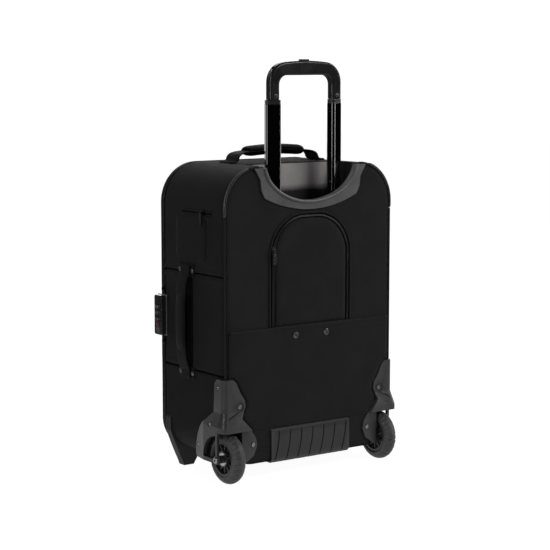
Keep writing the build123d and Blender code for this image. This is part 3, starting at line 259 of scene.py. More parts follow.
def lined_tub(name, painted_lit, dark):
    """The recess with painted light and shade: a pale lit area on the upper front wall, and painted
    shade, dark, on its sides and below, where the light falls off.
    """
    painted_light_z = (488 * MM, 500 * MM)      # each pair is where the painted light begins and is full
    painted_light_x = (84 * MM, 78 * MM)
    painted_light_y = (46 * MM, 40 * MM)
    n = Nodes(name)
    coords = n.object_coords()
    split = n.add("ShaderNodeSeparateXYZ", {0: coords})
    fine = n.noise(coords, 900.0, 3.0, 0.7)
    slow = n.noise(coords, 26.0, 4.0, 0.6)
    high = n.ramp(n.math("MULTIPLY_ADD", slow, 6 * MM, split.outputs[2]), *painted_light_z)
    middle = n.ramp(n.math("ABSOLUTE", split.outputs[0]), *painted_light_x)
    front = n.ramp(split.outputs[1], *painted_light_y)
    # painted light: 1 on the upper front wall, where the light reaches, and 0 on the shaded sides and
    # lower part
    panel = n.math("MULTIPLY", n.math("MULTIPLY", high, middle), front)
    painted_light_tone = n.tones(n.ramp(slow, 0.3, 0.75), painted_lit, 0.85, 1.05, 0.02)
    return n.finish(n.mix(panel, grey(dark), painted_light_tone), n.ramp(slow, 0.3, 0.75, 0.42, 0.55),
                    fine, 0.3, 0.1 * MM)


def plain_paint(name, colour, roughness):
    """A small moulded or printed detail in one pigment, with faint mottling."""
    n = Nodes(name)
    slow = n.noise(n.object_coords(), 300.0, 3.0)
    darker = tuple(0.8 * c for c in colour[:3]) + (1.0,)
    n.tree.links.new(n.mix(slow, darker, colour), n.shader.inputs["Base Color"])
    n.set(Roughness=roughness)
    return n.material


# painted shade: one nylon cloth in two copies; the side copy is darker, as the case's sides are turned
# from the key light, and the back copy is the lit one
NYLON_BACK = woven("nylon_back", 0.0255, 1.1 * MM)
NYLON_SIDE_SHADED = woven("nylon_side", 0.0150, 1.1 * MM)
NYLON_LOW = woven("nylon_low", 0.0080, 1.4 * MM)
NYLON_POCKET = woven("nylon_pocket", 0.0245, 1.1 * MM)
WEBBING = woven("webbing", 0.0050, 1.5 * MM, roughness=0.7, weave_depth=0.4 * MM, sheen=0.04)
# painted shade: near-black cloth for the wraps' ends and the side towards the case, which lie in shade
WRAP_PAINTED_SHADE = woven("handle_wrap_painted_shade", 0.0008, 0.9 * MM, roughness=0.9, sheen=0.0, specular=0.03)
SEAM = woven("sunk_seam", 0.0025, 0.6 * MM, roughness=0.9, sheen=0.0, specular=0.03)
WRAP = woven("handle_wrap", 0.0095, 0.9 * MM, roughness=0.75)
LINING = woven("lining", 0.12, 0.8 * MM, roughness=0.9)
TAPE = woven("zip_tape", 0.002, 0.6 * MM, roughness=0.8, sheen=0.0, specular=0.08)
BINDING = woven("binding", 0.022, 0.8 * MM, roughness=0.6)
THREAD = woven("thread", 0.030, 0.4 * MM, roughness=0.6, use_uv=False)
COIL = moulded("zip_coil", 0.014, 0.35, edge=1.8)
# painted highlight: the cord is paler only round the upper corners, where it catches the light
PIPING_HIGHLIT = moulded("piping", 0.045, 0.38, edge=1.3)
GUARD = moulded("guard_plastic", 0.043, 0.40, edge=2.0, specular=0.45)
TRIM = moulded("trim_plastic", 0.185, 0.32, edge=1.3, specular=0.6)
SKID = moulded("skid_plastic", 0.052, 0.55, warm=0.02, edge=1.8, specular=0.25)
# painted light and shade: the recess pale on its upper front wall, dark on its shaded sides and floor
TUB = lined_tub("tub_plastic", 0.55, 0.020)
BOARD = woven("lined_board", 0.10, 0.9 * MM, roughness=0.9, use_uv=False)
COLLAR = moulded("collar_plastic", 0.020, 0.35, edge=1.5)
GRIP = moulded("grip_plastic", 0.020, 0.24, edge=1.6)
BUTTON = moulded("button_plastic", 0.012, 0.25, edge=1.5)
HUB = moulded("hub_plastic", 0.030, 0.42, edge=1.7)
LOCK = moulded("lock_plastic", 0.024, 0.18, edge=2.4, coat=0.8)
# painted reflection: the plate a pale grey, standing for the bright reflections of its chrome
LOCK_PLATE_PAINTED_SHINE = moulded("lock_plate", 0.17, 0.22, edge=2.2, coat=0.8)
DIAL = moulded("dial_plastic", 0.012, 0.35, edge=1.6)
TUBE = enamel("tube_black", 0.003, 0.07)
TUBE_STEEL = metal("tube_steel", 0.35, 0.35)
STEEL = metal("steel", 0.45, 0.25)
SCREW = metal("screw_metal", 0.30, 0.26)
# painted shade and highlight: the feet darker than the other black plastics, for the shade under the
# case's front, with edges four times as light as a painted highlight
FOOT_SHADED = moulded("foot_plastic", 0.010, 0.5, edge=4.0, specular=0.2)
SLIDER = metal("zip_metal", 0.10, 0.30)
# painted highlight: a lighter copy of the zip metal for the arched pocket's slider and pull, which
# catch the light
SLIDER_PAINTED_LIT = metal("zip_metal_painted_lit", 0.40, 0.24)
TYRE = rubber("tyre_rubber", 0.085)
RED = plain_paint("red_plastic", (0.35, 0.02, 0.012, 1.0), 0.35)
WHITE = plain_paint("dial_figures", (0.70, 0.70, 0.68, 1.0), 0.5)

CAD_MATERIALS = (
    (BOARD, "stiffener_boards", "tunnel_cover"), (TUB, "handle_tub"), (TRIM, "crescent_trim"),
    (TUBE_STEEL, "outer_tubes"), (TUBE, "middle_tubes", "inner_tubes"),
    (COLLAR, "tube_bracket", "middle_collars", "inner_plugs"), (GRIP, "grip_back", "grip_front"),
    (BUTTON, "push_button"), (SCREW, "grip_screws", "case_fasteners", "axle_bolts"),
    (STEEL, "lock_pin_left", "lock_pin_right", "release_yoke", "return_springs", "bearings_left",
     "bearings_right", "key_cylinder"),
    (HUB, "hub_left", "hub_right"), (GUARD, "wheel_guard_left", "wheel_guard_right"),
    (SKID, "skid_plate"), (FOOT_SHADED, "front_feet"), (PIPING_HIGHLIT, "back_piping"),
    (SLIDER, "side_zip_slider", "side_zip_pull", "front_zip_slider", "front_zip_pull",
     "main_zip_upper_slider", "main_zip_lower_slider"),
    (SLIDER_PAINTED_LIT, "arch_zip_slider", "arch_zip_pull"), (LOCK_PLATE_PAINTED_SHINE, "lock_base"),
    (LOCK, "lock_housing"), (DIAL, "lock_dial_1", "lock_dial_2", "lock_dial_3"),
    (RED, "lock_release"),
)
for material, *nodes in CAD_MATERIALS:
    for node in nodes:
        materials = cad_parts[node].data.materials
        materials.clear()
        materials.append(material)


# ---- mesh helpers
def in_scene(name, data):
    """A new object in the scene."""
    made = bpy.data.objects.new(name, data)
    bpy.context.scene.collection.objects.link(made)
    return made


def place_mesh(name, mesh, material, body, slot, replaces=()):
    """Put a mesh with its material on a body, hiding the CAD parts it replaces; slot is not used."""
    mesh.materials.append(material)
    made = in_scene(name, mesh)
    if body is not None:
        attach(made, body)
    if replaces:
        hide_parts(*replaces)
    return made


def piece(name, points, faces, material, body, slot, uvs=None, smooth=True, replaces=()):
    """A piece from points and faces; uvs has one pair for each point."""
    mesh = bpy.data.meshes.new(name)
    mesh.from_pydata([tuple(p) for p in points], [], faces)
    if uvs is not None:
        layer = mesh.uv_layers.new(name="UVMap")
        for loop in mesh.loops:
            layer.data[loop.index].uv = uvs[loop.vertex_index]
    mesh.validate()
    mesh.update()
    for polygon in mesh.polygons:
        polygon.use_smooth = smooth
    return place_mesh(name, mesh, material, body, slot, replaces)


def modify(made, kind, **settings):
    """Add a modifier with these settings."""
    modifier = made.modifiers.new(kind.lower(), kind)
    for key, value in settings.items():
        setattr(modifier, key, value)


def grid(height, width, closed_across=False, closed_along=False):
    """Faces of a grid of points, height rows of width points each."""
    faces = []
    for i in range(height if closed_along else height - 1):
        for j in range(width if closed_across else width - 1):
            i2 = (i + 1) % height
            j2 = (j + 1) % width
            faces.append((i * width + j, i * width + j2, i2 * width + j2, i2 * width + j))
    return faces


def smooth_step(x):
    """0 below 0, 1 above 1, and a smooth rise between."""
    x = min(1.0, max(0.0, x))
    return x * x * (3 - 2 * x)


def bell(distance, width):
    """1 at no distance, falling to almost 0 at twice the width."""
    return exp(-(distance / width) ** 2)


def rise_from(edge, reach):
    """0 on an edge, rising to 1 within a few times reach of it."""
    return 1 - exp(-max(edge, 0.0) / reach)


def ripple(x, y, z, scale, seed=0.0):
    """Slow noise from about -1 to 1; scale is the size of its waves in metres."""
    return noise.noise(Vector((x / scale + seed, y / scale, z / scale)))


def values(step, low, high):
    """Evenly spaced values from low to high, about step apart."""
    count = max(1, round((high - low) / step))
    return [low + (high - low) * i / count for i in range(count + 1)]


def off_edge(outside, a, b):
    """How far (a, b) is from where outside is 0, as its parts along a and b."""
    step = 0.2 * MM
    slope_a = outside(a + step, b) - outside(a - step, b)
    slope_b = outside(a, b + step) - outside(a, b - step)
    size = hypot(slope_a, slope_b) or 1.0
    distance = outside(a, b)
    return distance * slope_a / size, distance * slope_b / size


# ---- the case's outline
def outline_segments():
    """Straights and arcs round the case in the XZ plane, from the middle of the bottom, by +X."""
    bottom_x = HALF_W - BOTTOM_R
    top_x = HALF_W - TOP_R
    bottom_z = BOTTOM + BOTTOM_R
    top_z = TOP - TOP_R
    return [
        ("line", (0.0, BOTTOM), (bottom_x, BOTTOM)),
        ("arc", (bottom_x, bottom_z), BOTTOM_R, -90),
        ("line", (HALF_W, bottom_z), (HALF_W, top_z)),
        ("arc", (top_x, top_z), TOP_R, 0),
        ("line", (top_x, TOP), (-top_x, TOP)),
        ("arc", (-top_x, top_z), TOP_R, 90),
        ("line", (-HALF_W, top_z), (-HALF_W, bottom_z)),
        ("arc", (-bottom_x, bottom_z), BOTTOM_R, 180),
        ("line", (-bottom_x, BOTTOM), (0.0, BOTTOM)),
    ]


def outline(step):
    """Points round the case: (x, z, normal x, normal z, distance along), step apart."""
    made = []
    travelled = 0.0
    for kind, *shape in outline_segments():
        if kind == "line":
            start, end = (Vector(p) for p in shape)
            length = (end - start).length
            along = (end - start).normalized()
            normal = Vector((along.y, -along.x))
        else:
            centre, radius, from_angle = shape
            length = radius * pi / 2
        count = max(2, round(length / step))
        for i in range(count):
            t = i / count
            if kind == "line":
                place = start.lerp(end, t)
            else:
                turn = radians(from_angle + 90 * t)
                normal = Vector((cos(turn), sin(turn)))
                place = Vector(centre) + radius * normal
            made.append((place.x, place.y, normal.x, normal.y, travelled + t * length))
        travelled += length
    return made


def outside_case(x, z, inset=0.0):
    """Signed distance of (x, z) outside the case's outline moved in by inset."""
    top = z > (TOP + BOTTOM) / 2
    radius = max((TOP_R if top else BOTTOM_R) - inset, 4 * MM)
    half_w = HALF_W - inset
    corner_x = abs(x) - (half_w - radius)
    corner_z = (z - (TOP - inset - radius)) if top else ((BOTTOM + inset + radius) - z)
    if corner_x > 0 and corner_z > 0:
        return hypot(corner_x, corner_z) - radius
    return max(corner_x, corner_z) - radius


def outside_round_box(x, z, centre_x, centre_z, half_w, half_h, radius):
    """Signed distance outside a rectangle with round corners."""
    dx = abs(x - centre_x) - half_w + radius
    dz = abs(z - centre_z) - half_h + radius
    return hypot(max(dx, 0.0), max(dz, 0.0)) + min(max(dx, dz), 0.0) - radius


def outside_arch(x, z, grow=0.0):
    """Signed distance outside the arched pocket's outline moved outwards by grow."""
    half_w = ARCH_HALF_W + grow
    radius = ARCH_R + grow
    top = ARCH_TOP + grow
    if z > top - radius and abs(x) > half_w - radius:
        side = hypot(abs(x) - half_w + radius, z - top + radius) - radius
    else:
        side = max(abs(x) - half_w, z - top)
    return max(side, ARCH_FOOT - z)


def inside_scoop(x, z, grow=0.0):
    """Signed distance inside the half ellipse cut in the top edge, widened by grow."""
    centre_z, rx, rz = SCOOP
    rx += grow
    rz += grow
    reach = hypot(x / rx, (z - centre_z) / rz)
    return (1 - reach) * min(rx, rz)


def inside_well(x, z):
    """Signed distance inside a wheel's corner notch, seen from behind."""
    return min(abs(x) - WELL_X, WELL_Z - z)


def trimmed(outside, low, high, cell):
    """A flat grid trimmed to where outside(a, b) is below 0: its (a, b) points and its faces.

    Points just outside move onto the edge, so that the edge is smooth.
    """
    columns = round((high[0] - low[0]) / cell) + 1
    rows = round((high[1] - low[1]) / cell) + 1
    places = {}
    for i in range(columns):
        for j in range(rows):
            a = low[0] + (high[0] - low[0]) * i / (columns - 1)
            b = low[1] + (high[1] - low[1]) * j / (rows - 1)
            distance = outside(a, b)
            if distance < cell:
                if distance > -0.35 * cell:
                    off_a, off_b = off_edge(outside, a, b)
                    a -= off_a
                    b -= off_b
                places[i, j] = (a, b)
    used = {}
    faces = []
    for i in range(columns - 1):
        for j in range(rows - 1):
            corners = [(i, j), (i + 1, j), (i + 1, j + 1), (i, j + 1)]
            if all(c in places for c in corners):
                middle_a = sum(places[c][0] for c in corners) / 4
                middle_b = sum(places[c][1] for c in corners) / 4
                if outside(middle_a, middle_b) < -0.02 * cell:
                    faces.append([used.setdefault(c, len(used)) for c in corners])
    return [places[c] for c in used], faces


# ---- stage, light, camera
def camera():
    """The view from behind, turned to the side with the lock."""
    azimuth = radians(143.99)
    elevation = radians(7.18)
    distance = 2.916
    target = Vector((75.8, 95.0, 350.3)) * MM
    back = Vector((sin(azimuth) * cos(elevation), -cos(azimuth) * cos(elevation), sin(elevation)))
    data = bpy.data.cameras.new("camera")
    data.lens = 113.2
    data.sensor_width = 36.0
    data.clip_end = 50.0
    made = in_scene("camera", data)
    made.location = target + distance * back
    made.rotation_euler = back.to_track_quat("Z", "Y").to_euler()
    bpy.context.scene.camera = made


def lamp(name, place, size, power, colour=(1.0, 1.0, 1.0)):
    """A soft rectangular light at a place, aimed at the middle of the case."""
    data = bpy.data.lights.new(name, "AREA")
    data.shape = "RECTANGLE"
    data.size, data.size_y = size
    data.energy = power
    data.color = colour
    made = in_scene(name, data)
    made.location = place
    aim = Vector((0.0, 0.0, 0.3))
    made.rotation_euler = (Vector(place) - aim).to_track_quat("Z", "Y").to_euler()


def backdrop(name, points, faces, emission, albedo=0.0, camera=True):
    """A stage surface that shines without lighting the object; only the floor takes shadows.

    Either the camera sees it or, where camera is off, only glossy surfaces do.
    """
    mesh = bpy.data.meshes.new(name)
    mesh.from_pydata(points, [], faces)
    n = Nodes(name)
    n.set(Base_Color=grey(albedo), Roughness=0.9, Specular_IOR_Level=0.0,
          Emission_Color=(1.0, 1.0, 1.0, 1.0), Emission_Strength=emission)
    mesh.materials.append(n.material)
    made = in_scene(name, mesh)
    made.visible_diffuse = False
    made.visible_glossy = not camera
    made.visible_camera = camera
    made.visible_shadow = name == "floor"


def round_wall(radius, low, high, middle, half_turn, count=48):
    """A wall round the object, middle and half_turn in degrees, roofed when it goes all the way."""
    turns = [radians(middle + half_turn * (2 * i / count - 1)) for i in range(count + 1)]
    points = [(radius * cos(t), radius * sin(t), z) for z in (low, high) for t in turns]
    faces = [(i, i + 1, count + 2 + i, count + 1 + i) for i in range(count)]
    if half_turn == 180:
        faces.append(tuple(range(count + 1, 2 * count + 1)))
    return points, faces


def studio():
    """A pale floor in a white surround, soft lights, and cards for glossy edges to reflect."""
    world = bpy.data.worlds.new("studio")
    bpy.context.scene.world = world
    world.use_nodes = True
    world.node_tree.nodes["Background"].inputs[0].default_value = (1.0, 0.975, 1.0, 1.0)
    world.node_tree.nodes["Background"].inputs[1].default_value = 0.16
    reach = 14.0
    corners = [(-reach, -reach, 0), (reach, -reach, 0), (reach, reach, 0), (-reach, reach, 0)]
    backdrop("floor", corners, [(0, 1, 2, 3)], 0.955, 0.35)
    backdrop("surround", *round_wall(reach, -1.0, 12.0, 0, 180), 1.1)
    # Radius, foot, top, middle and half turn in degrees, and brightness. The far card is behind the
    # object as the camera sees it: what edges mirror at a glancing angle.
    cards = [("far_card", 5.0, -0.5, 4.0, 240, 58, 0.9), ("left_card", 4.0, 0.1, 3.0, 8, 4, 9.0),
             ("right_card", 4.0, 0.1, 3.0, 152, 4, 9.0), ("dark_room", 7.0, -1.0, 6.0, 0, 180, 0.0)]
    for name, radius, low, high, middle, half_turn, emission in cards:
        backdrop(name, *round_wall(radius, low, high, middle, half_turn), emission, camera=False)
    disc = [(0.8 * cos(t * pi / 16), 0.8 * sin(t * pi / 16), -0.01) for t in range(32)]
    backdrop("floor_card", disc, [tuple(range(32))], 0.8, camera=False)
    lamp("key", (-1.6, 2.6, 2.4), (1.6, 1.6), 38, (1.0, 0.965, 0.98))
    lamp("side", (3.0, 0.6, 1.4), (0.8, 2.2), 7)
    lamp("front", (-1.2, -3.0, 1.8), (2.0, 2.0), 20)
    bpy.context.scene.view_settings.view_transform = "Standard"


camera()
studio()


# ---- lines that trims and straps follow
def frames(points, up):
    """Frames (place, along, side, up) at each point of a line; up is one direction, or one a point."""
    ups = [up] * len(points) if isinstance(up, Vector) else up
    made = []
    for i, (place, up) in enumerate(zip(points, ups)):
        along = (points[min(i + 1, len(points) - 1)] - points[max(i - 1, 0)]).normalized()
        side = along.cross(up).normalized()
        made.append((place, along, side, side.cross(along)))
    return made


def spaced(line, pitch, first=0.0):
    """Frames interpolated along a line of frames, a pitch apart."""
    made = []
    travelled = 0.0
    wanted = first
    for start, end in zip(line, line[1:]):
        length = (end[0] - start[0]).length
        while wanted <= travelled + length and length > 0:
            t = (wanted - travelled) / length
            made.append(tuple(a.lerp(b, t) for a, b in zip(start, end)))
            wanted += pitch
        travelled += length
    return made


def shifted(line, across=0.0, out=0.0):
    """The same line moved sideways and outwards."""
    return [(place + across * side + out * up, along, side, up) for place, along, side, up in line]


def curve_through(points, count=8):
    """A smooth line of points through these ones."""
    made = []
    ends = [points[0] * 2 - points[1]] + list(points) + [points[-1] * 2 - points[-2]]
    for a, b, c, d in zip(ends, ends[1:], ends[2:], ends[3:]):
        for i in range(count):
            t = i / count
            made.append(0.5 * ((2 * b) + (c - a) * t + (2 * a - 5 * b + 4 * c - d) * t * t
                               + (3 * b - a - 3 * c + d) * t ** 3))
    made.append(points[-1])
    return made


def sweep(name, line, profile, material, body, slot, size=None, replaces=(), caps=True):
    """A closed profile of (across, out) offsets carried along a line; size(i) scales it at frame i."""
    points, uvs = [], []
    travelled = 0.0
    for i, (place, _, side, up) in enumerate(line):
        if i:
            travelled += (place - line[i - 1][0]).length
        scale = size(i) if size else (1.0, 1.0)
        round_it = 0.0
        for j, (across, out) in enumerate(profile):
            if j:
                round_it += hypot(across - profile[j - 1][0], out - profile[j - 1][1])
            points.append(place + across * scale[0] * side + out * scale[1] * up)
            uvs.append((travelled, round_it))
    width = len(profile)
    faces = [face[::-1] for face in grid(len(line), width, closed_across=True)]
    if caps:
        faces.append(tuple(range(width)))
        faces.append(tuple(reversed(range(len(points) - width, len(points)))))
    made = piece(name, points, faces, material, body, slot, uvs, replaces=replaces)
    outwards(made)
    return made


def outwards(made):
    """Turn a closed mesh's faces outwards."""
    mesh = bmesh.new()
    mesh.from_mesh(made.data)
    bmesh.ops.recalc_face_normals(mesh, faces=mesh.faces)
    mesh.to_mesh(made.data)
    mesh.free()


def circle(radius, count=10, squash=1.0):
    """A round profile, or one squashed in its height."""
    turns = [2 * pi * i / count for i in range(count)]
    return [(radius * cos(turn), radius * squash * sin(turn)) for turn in turns]


def rounded(width, height, power=4.0, count=24):
    """A superellipse; a power of 2 is an ellipse, and more is squarer."""
    made = []
    for i in range(count):
        turn = 2 * pi * i / count
        reach = (abs(cos(turn)) ** power + abs(sin(turn)) ** power) ** (-1 / power)
        made.append((width / 2 * reach * cos(turn), height / 2 * reach * sin(turn)))
    return made


def blocks(name, places, size, taper, material, body, slot):
    """A small tapered block at each frame: size is along, across and out."""
    points, faces = [], []
    long, wide, high = (s / 2 for s in size)
    for place, along, side, up in places:
        base = len(points)
        for level, shrink in ((0.0, 1.0), (1.4 * high, 1.0), (2 * high, taper)):
            for a, b in ((-1, -1), (1, -1), (1, 1), (-1, 1)):
                points.append(place + a * long * shrink * along + b * wide * shrink * side + level * up)
        for layer in (0, 4):
            for k in range(4):
                faces.append((base + layer + k, base + layer + (k + 1) % 4,
                              base + layer + 4 + (k + 1) % 4, base + layer + 4 + k))
        faces.append((base + 3, base + 2, base + 1, base))
        faces.append((base + 8, base + 9, base + 10, base + 11))
    made = piece(name, points, faces, material, body, slot, smooth=False)
    outwards(made)
    return made


def stitches(name, lines, body, pitch=3.2 * MM, length=2.2 * MM):
    """Rows of stitches along lines of frames."""
    places = [frame_at for line in lines for frame_at in spaced(line, pitch, pitch / 2)]
    return blocks(name, places, (length, 0.55 * MM, 0.35 * MM), 0.55, THREAD, body, "webbing")


def loop_frames(corners, up, closed=True):
    """Frames along straight runs between corners, without joining the runs."""
    lines = []
    ends = corners[1:] + ([corners[0]] if closed else [])
    for start, end in zip(corners, ends):
        lines.append(frames([start.lerp(end, t / 6) for t in range(7)], up))
    return lines


# ---- fabric of the case
GUARD_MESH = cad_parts["wheel_guard_left"].data
GUARD_TREE = BVHTree.FromPolygons([v.co for v in GUARD_MESH.vertices],
                                  [p.vertices for p in GUARD_MESH.polygons])
GUARD_ROOM = 2.2 * MM


def near_guard(x, z):
    """Positive within a little room of a guard's plate on the back."""
    place = Vector((abs(x), BACK + 1.5 * MM, z))
    return GUARD_ROOM - GUARD_TREE.find_nearest(place)[3]


def gusset_out(x, y, z, normal_x):
    """How far the gusset's fabric stands off its nominal surface."""
    turned_in = -2.4 * MM * bell(y - BACK, 7 * MM) - 1.2 * MM * bell(y - CASE_FRONT, 5 * MM)
    soft = 0.45 * MM * ripple(x, y, z, 0.07) + 0.2 * MM * ripple(x, y, z, 0.025, 5.0)
    calm = smooth_step((BACK - y) / 0.03)
    seams = 0.0
    if abs(normal_x) > 0.9:
        for seam in SIDE_SEAMS:
            seams -= 2.0 * MM * bell(z - seam, 2.2 * MM)
            seams += 0.7 * MM * bell(abs(z - seam) - 5.5 * MM, 3.5 * MM)
    return turned_in + soft * calm - 0.3 * MM + seams


def outside_tub(x, y):
    """Signed distance outside the recess in the top, which is open to the back."""
    centre_y = (TUB_LOW.y + BACK + 60 * MM) / 2
    half_x = TUB_HIGH.x + 0.3 * MM
    half_y = centre_y - TUB_LOW.y + 0.3 * MM
    return outside_round_box(x, y, 0.0, centre_y, half_x, half_y, TUB_CORNER)


def gusset():
    """The fabric round the case, open at the wheel wells and the recess."""
    ring = outline(STEP)
    depths = values(STEP, CASE_FRONT, BACK - 0.4 * MM)
    points, uvs = [], []
    for y in depths:
        for x, z, nx, nz, along in ring:
            out = gusset_out(x, y, z, nx)
            place = Vector((x + nx * out, y, z + nz * out))
            if z > TOP - 1 * MM and -3 * MM < outside_tub(x, y) < 1.6 * MM:
                off_x, off_y = off_edge(outside_tub, x, y)
                place.x -= off_x
                place.y -= off_y
            points.append(place)
            uvs.append((along, y))
    width = len(ring)

    def hidden(a):
        x, y, z = points[a]
        in_well = abs(x) > WELL_X + 1 * MM and y > WELL_Y + 1 * MM and z < WELL_Z - 1 * MM
        in_tub = z > TOP - 5 * MM and outside_tub(x, y) < -0.4 * MM
        return in_well or in_tub

    faces = []
    for i in range(len(depths) - 1):
        for j in range(width):
            corners = (i * width + j, i * width + (j + 1) % width,
                       (i + 1) * width + (j + 1) % width, (i + 1) * width + j)
            if not any(hidden(c) for c in corners):
                faces.append(corners)
    made = piece("gusset_fabric", points, faces, NYLON_SIDE_SHADED, "case", "nylon_side", uvs,
                 replaces=["outer_gusset"])
    made.data.materials.append(NYLON_LOW)
    made.data.materials.append(SEAM)
    for polygon in made.data.polygons:
        place = polygon.center
        from_seam = min(abs(place.z - seam) for seam in SIDE_SEAMS)
        on_seam = abs(place.x) > HALF_W - 6 * MM and from_seam < 1.7 * MM
        polygon.material_index = 2 if on_seam else int(place.z < SIDE_SEAMS[0])
    modify(made, "SOLIDIFY", thickness=FABRIC, offset=-1.0)
    lines = []
    for seam in SIDE_SEAMS:
        for side in (1, -1):
            for z in (seam - 4.5 * MM, seam + 4.5 * MM):
                row = [Vector((side * (HALF_W + gusset_out(HALF_W, y, z, 1.0)), y, z))
                       for y in values(6 * MM, CASE_FRONT + 5 * MM, BACK - 12 * MM)]
                lines.append(frames(row, side * AXIS_X))
    stitches("gusset_stitches", lines, "case")


def panel_y(x, z):
    """The back panel's surface: pulled in at its edges and softly uneven."""
    edge = -outside_case(x, z)
    pulled = -2.6 * MM * exp(-max(edge, 0.0) / (4 * MM))
    soft = 0.5 * MM * ripple(x, 0.0, z, 0.08, 2.0) + 0.15 * MM * ripple(x, 0.0, z, 0.03, 7.0)
    calm = smooth_step(edge / 0.03)
    around_arch = -0.7 * MM * bell(outside_arch(x, z, 5 * MM), 4 * MM)
    return BACK - 0.2 * MM + pulled + soft * calm + around_arch


def flat_piece(name, outside, low, high, surface, material, slot, body="case", cell=3.5 * MM,
               flip=True, thickness=0.0, replaces=()):
    """A trimmed panel laid on a surface; surface(a, b) gives each point, and flip turns it over."""
    places, faces = trimmed(outside, low, high, cell)
    points = [surface(a, b) for a, b in places]
    if flip:
        faces = [face[::-1] for face in faces]
    made = piece(name, points, faces, material, body, slot, places, replaces=replaces)
    if thickness:
        modify(made, "SOLIDIFY", thickness=thickness, offset=-1.0)
    return made


def back_panel():
    """The back's fabric, trimmed at the scoop and the wheel wells."""
    def outside(x, z):
        return max(outside_case(x, z), inside_scoop(x, z, 2.5 * MM), inside_well(x, z))

    flat_piece("back_fabric", outside, (-HALF_W, BOTTOM), (HALF_W, TOP),
               lambda x, z: Vector((x, panel_y(x, z), z)), NYLON_BACK, "nylon_back",
               thickness=FABRIC, replaces=["back_panel"])


# ---- pockets
HEM = 11 * MM                  # depth of the stash pocket's hem
SNAPS = ((-33 * MM, 244 * MM), (33 * MM, 244 * MM))
FULL = 30 * MM                 # distance from a sewn edge at which a pocket has its full slack


def stash_y(x, z, edge):
    """The stash pocket's surface, edge being the distance in from its sewn edges."""
    rise = 1.75 * MM * rise_from(edge, 2.5 * MM)
    near_snap = max(bell(hypot(x - sx, z - sz), 16 * MM) for sx, sz in SNAPS)
    loose = smooth_step(edge / FULL) * (1 - near_snap)
    slack = 0.8 * MM * (0.6 + ripple(x, 0, z, 0.09, 11.0)) * loose
    hem_line = -0.6 * MM * bell(POCKET_SEAM_Z - z - HEM, 1.3 * MM)
    return BACK + rise + slack + hem_line


def stash_pocket():
    """A flat pocket over the lower back, between the guards, hemmed along its top."""
    def sewn(x, z):
        return max(abs(x) - (HALF_W - 4 * MM), SKID_TOP + 1.5 * MM - z, near_guard(x, z),
                   inside_well(x, z - 6 * MM))

    def outside(x, z):
        return max(sewn(x, z), z - POCKET_SEAM_Z)

    def surface(x, z):
        return Vector((x, stash_y(x, z, -sewn(x, z)), z))

    def row(z, step, inset, sunk=0.0):
        return frames([Vector((x, stash_y(x, z, FULL) - sunk, z))
                       for x in values(step, -HALF_W + inset, HALF_W - inset)], AXIS_Y)

    made = flat_piece("stash_pocket", outside, (-HALF_W, SKID_TOP), (HALF_W, POCKET_SEAM_Z), surface,
                      NYLON_POCKET, "nylon_back", cell=CELL, thickness=1.3 * MM,
                      replaces=["outer_pockets"])
    stitches("stash_stitches", [row(POCKET_SEAM_Z - below, 6 * MM, 8 * MM) for below in (HEM, 2 * MM)],
             "case")
    sweep("stash_binding", row(POCKET_SEAM_Z, 4 * MM, 5 * MM, 0.4 * MM),
          rounded(3.2 * MM, 2.6 * MM, 2.5, 12), BINDING, "case", "nylon_back")


def arch_line(grow=0.0):
    """Frames round the arched pocket from its foot on the -X side, outwards being +Y."""
    step = 4 * MM
    half_w = ARCH_HALF_W + grow
    radius = ARCH_R + grow
    bend_z = ARCH_TOP - ARCH_R
    side = [(half_w, z) for z in values(step, ARCH_FOOT, bend_z)[:-1]]
    side += [(half_w - radius + radius * cos(turn), bend_z + radius * sin(turn))
             for turn in values(step / radius, 0, pi / 2)[:-1]]
    over = [(x, ARCH_TOP + grow) for x in values(step, radius - half_w, half_w - radius)]
    path = [(-x, z) for x, z in side] + over + side[::-1]
    return frames([Vector((x, BACK, z)) for x, z in path], AXIS_Y)


def pocket_zip(name, line, body, replaces, material=COIL):
    """Two tapes along a line, and over them the coil: two rows of close turns."""
    rows = (("a", -1), ("b", 1))
    for row, side in rows:
        sweep(f"{name}_tape_{row}", shifted(line, side * 1.8 * MM, 0.15 * MM),
              rounded(3.2 * MM, 0.6 * MM, 4, 12), TAPE, body, "zip", replaces=replaces)
    turns = spaced(line, 0.55 * MM)
    for row, side in rows:
        sweep(f"{name}_coil_{row}", shifted(turns, side * 0.75 * MM, 0.75 * MM),
              circle(0.95 * MM, 8, 0.8), material, body, "zip",
              size=lambda i: (1.0, 1.0) if i % 2 else (0.72, 0.72))


def zip_flaps(name, line, across, out, width, material, body, slot):
    """The folded edge of the fabric on each side of a zip."""
    for word, side in (("upper", -1), ("lower", 1)):
        sweep(f"{name}_flap_{word}", shifted(line, side * across, out), rounded(width, 1.6 * MM, 3, 12),
              material, body, slot)


def arch_pocket():
    """The padded arched pocket with the zip round it and a corded welt outside the zip."""
    grow = -5 * MM

    def outside(x, z):
        return outside_arch(x, z, grow)

    def surface(x, z):
        edge = -outside(x, z)
        rise = 2.9 * MM * rise_from(edge, 4 * MM)
        soft = 0.8 * MM * ripple(x, 0, z, 0.07, 21.0) * smooth_step(edge / FULL)
        crown = 1.2 * MM * smooth_step(edge / (2 * FULL))
        return Vector((x, BACK - 0.3 * MM + rise + soft + crown, z))

    made = flat_piece("arch_pocket", outside, (-ARCH_HALF_W, POCKET_SEAM_Z), (ARCH_HALF_W, ARCH_TOP),
                      surface, NYLON_POCKET, "nylon_back", cell=CELL, thickness=FABRIC,
                      replaces=["outer_pockets"])
    pocket_zip("arch_zip", arch_line(), "case", ["case_zips"])
    sweep("arch_welt", shifted(arch_line(6.0 * MM), out=0.7 * MM), circle(1.5 * MM), BINDING, "case",
          "nylon_back")
    stitches("arch_stitches", [shifted(arch_line(8.6 * MM), out=-0.1 * MM),
                               shifted(arch_line(grow - 3.0 * MM), out=1.2 * MM)], "case")


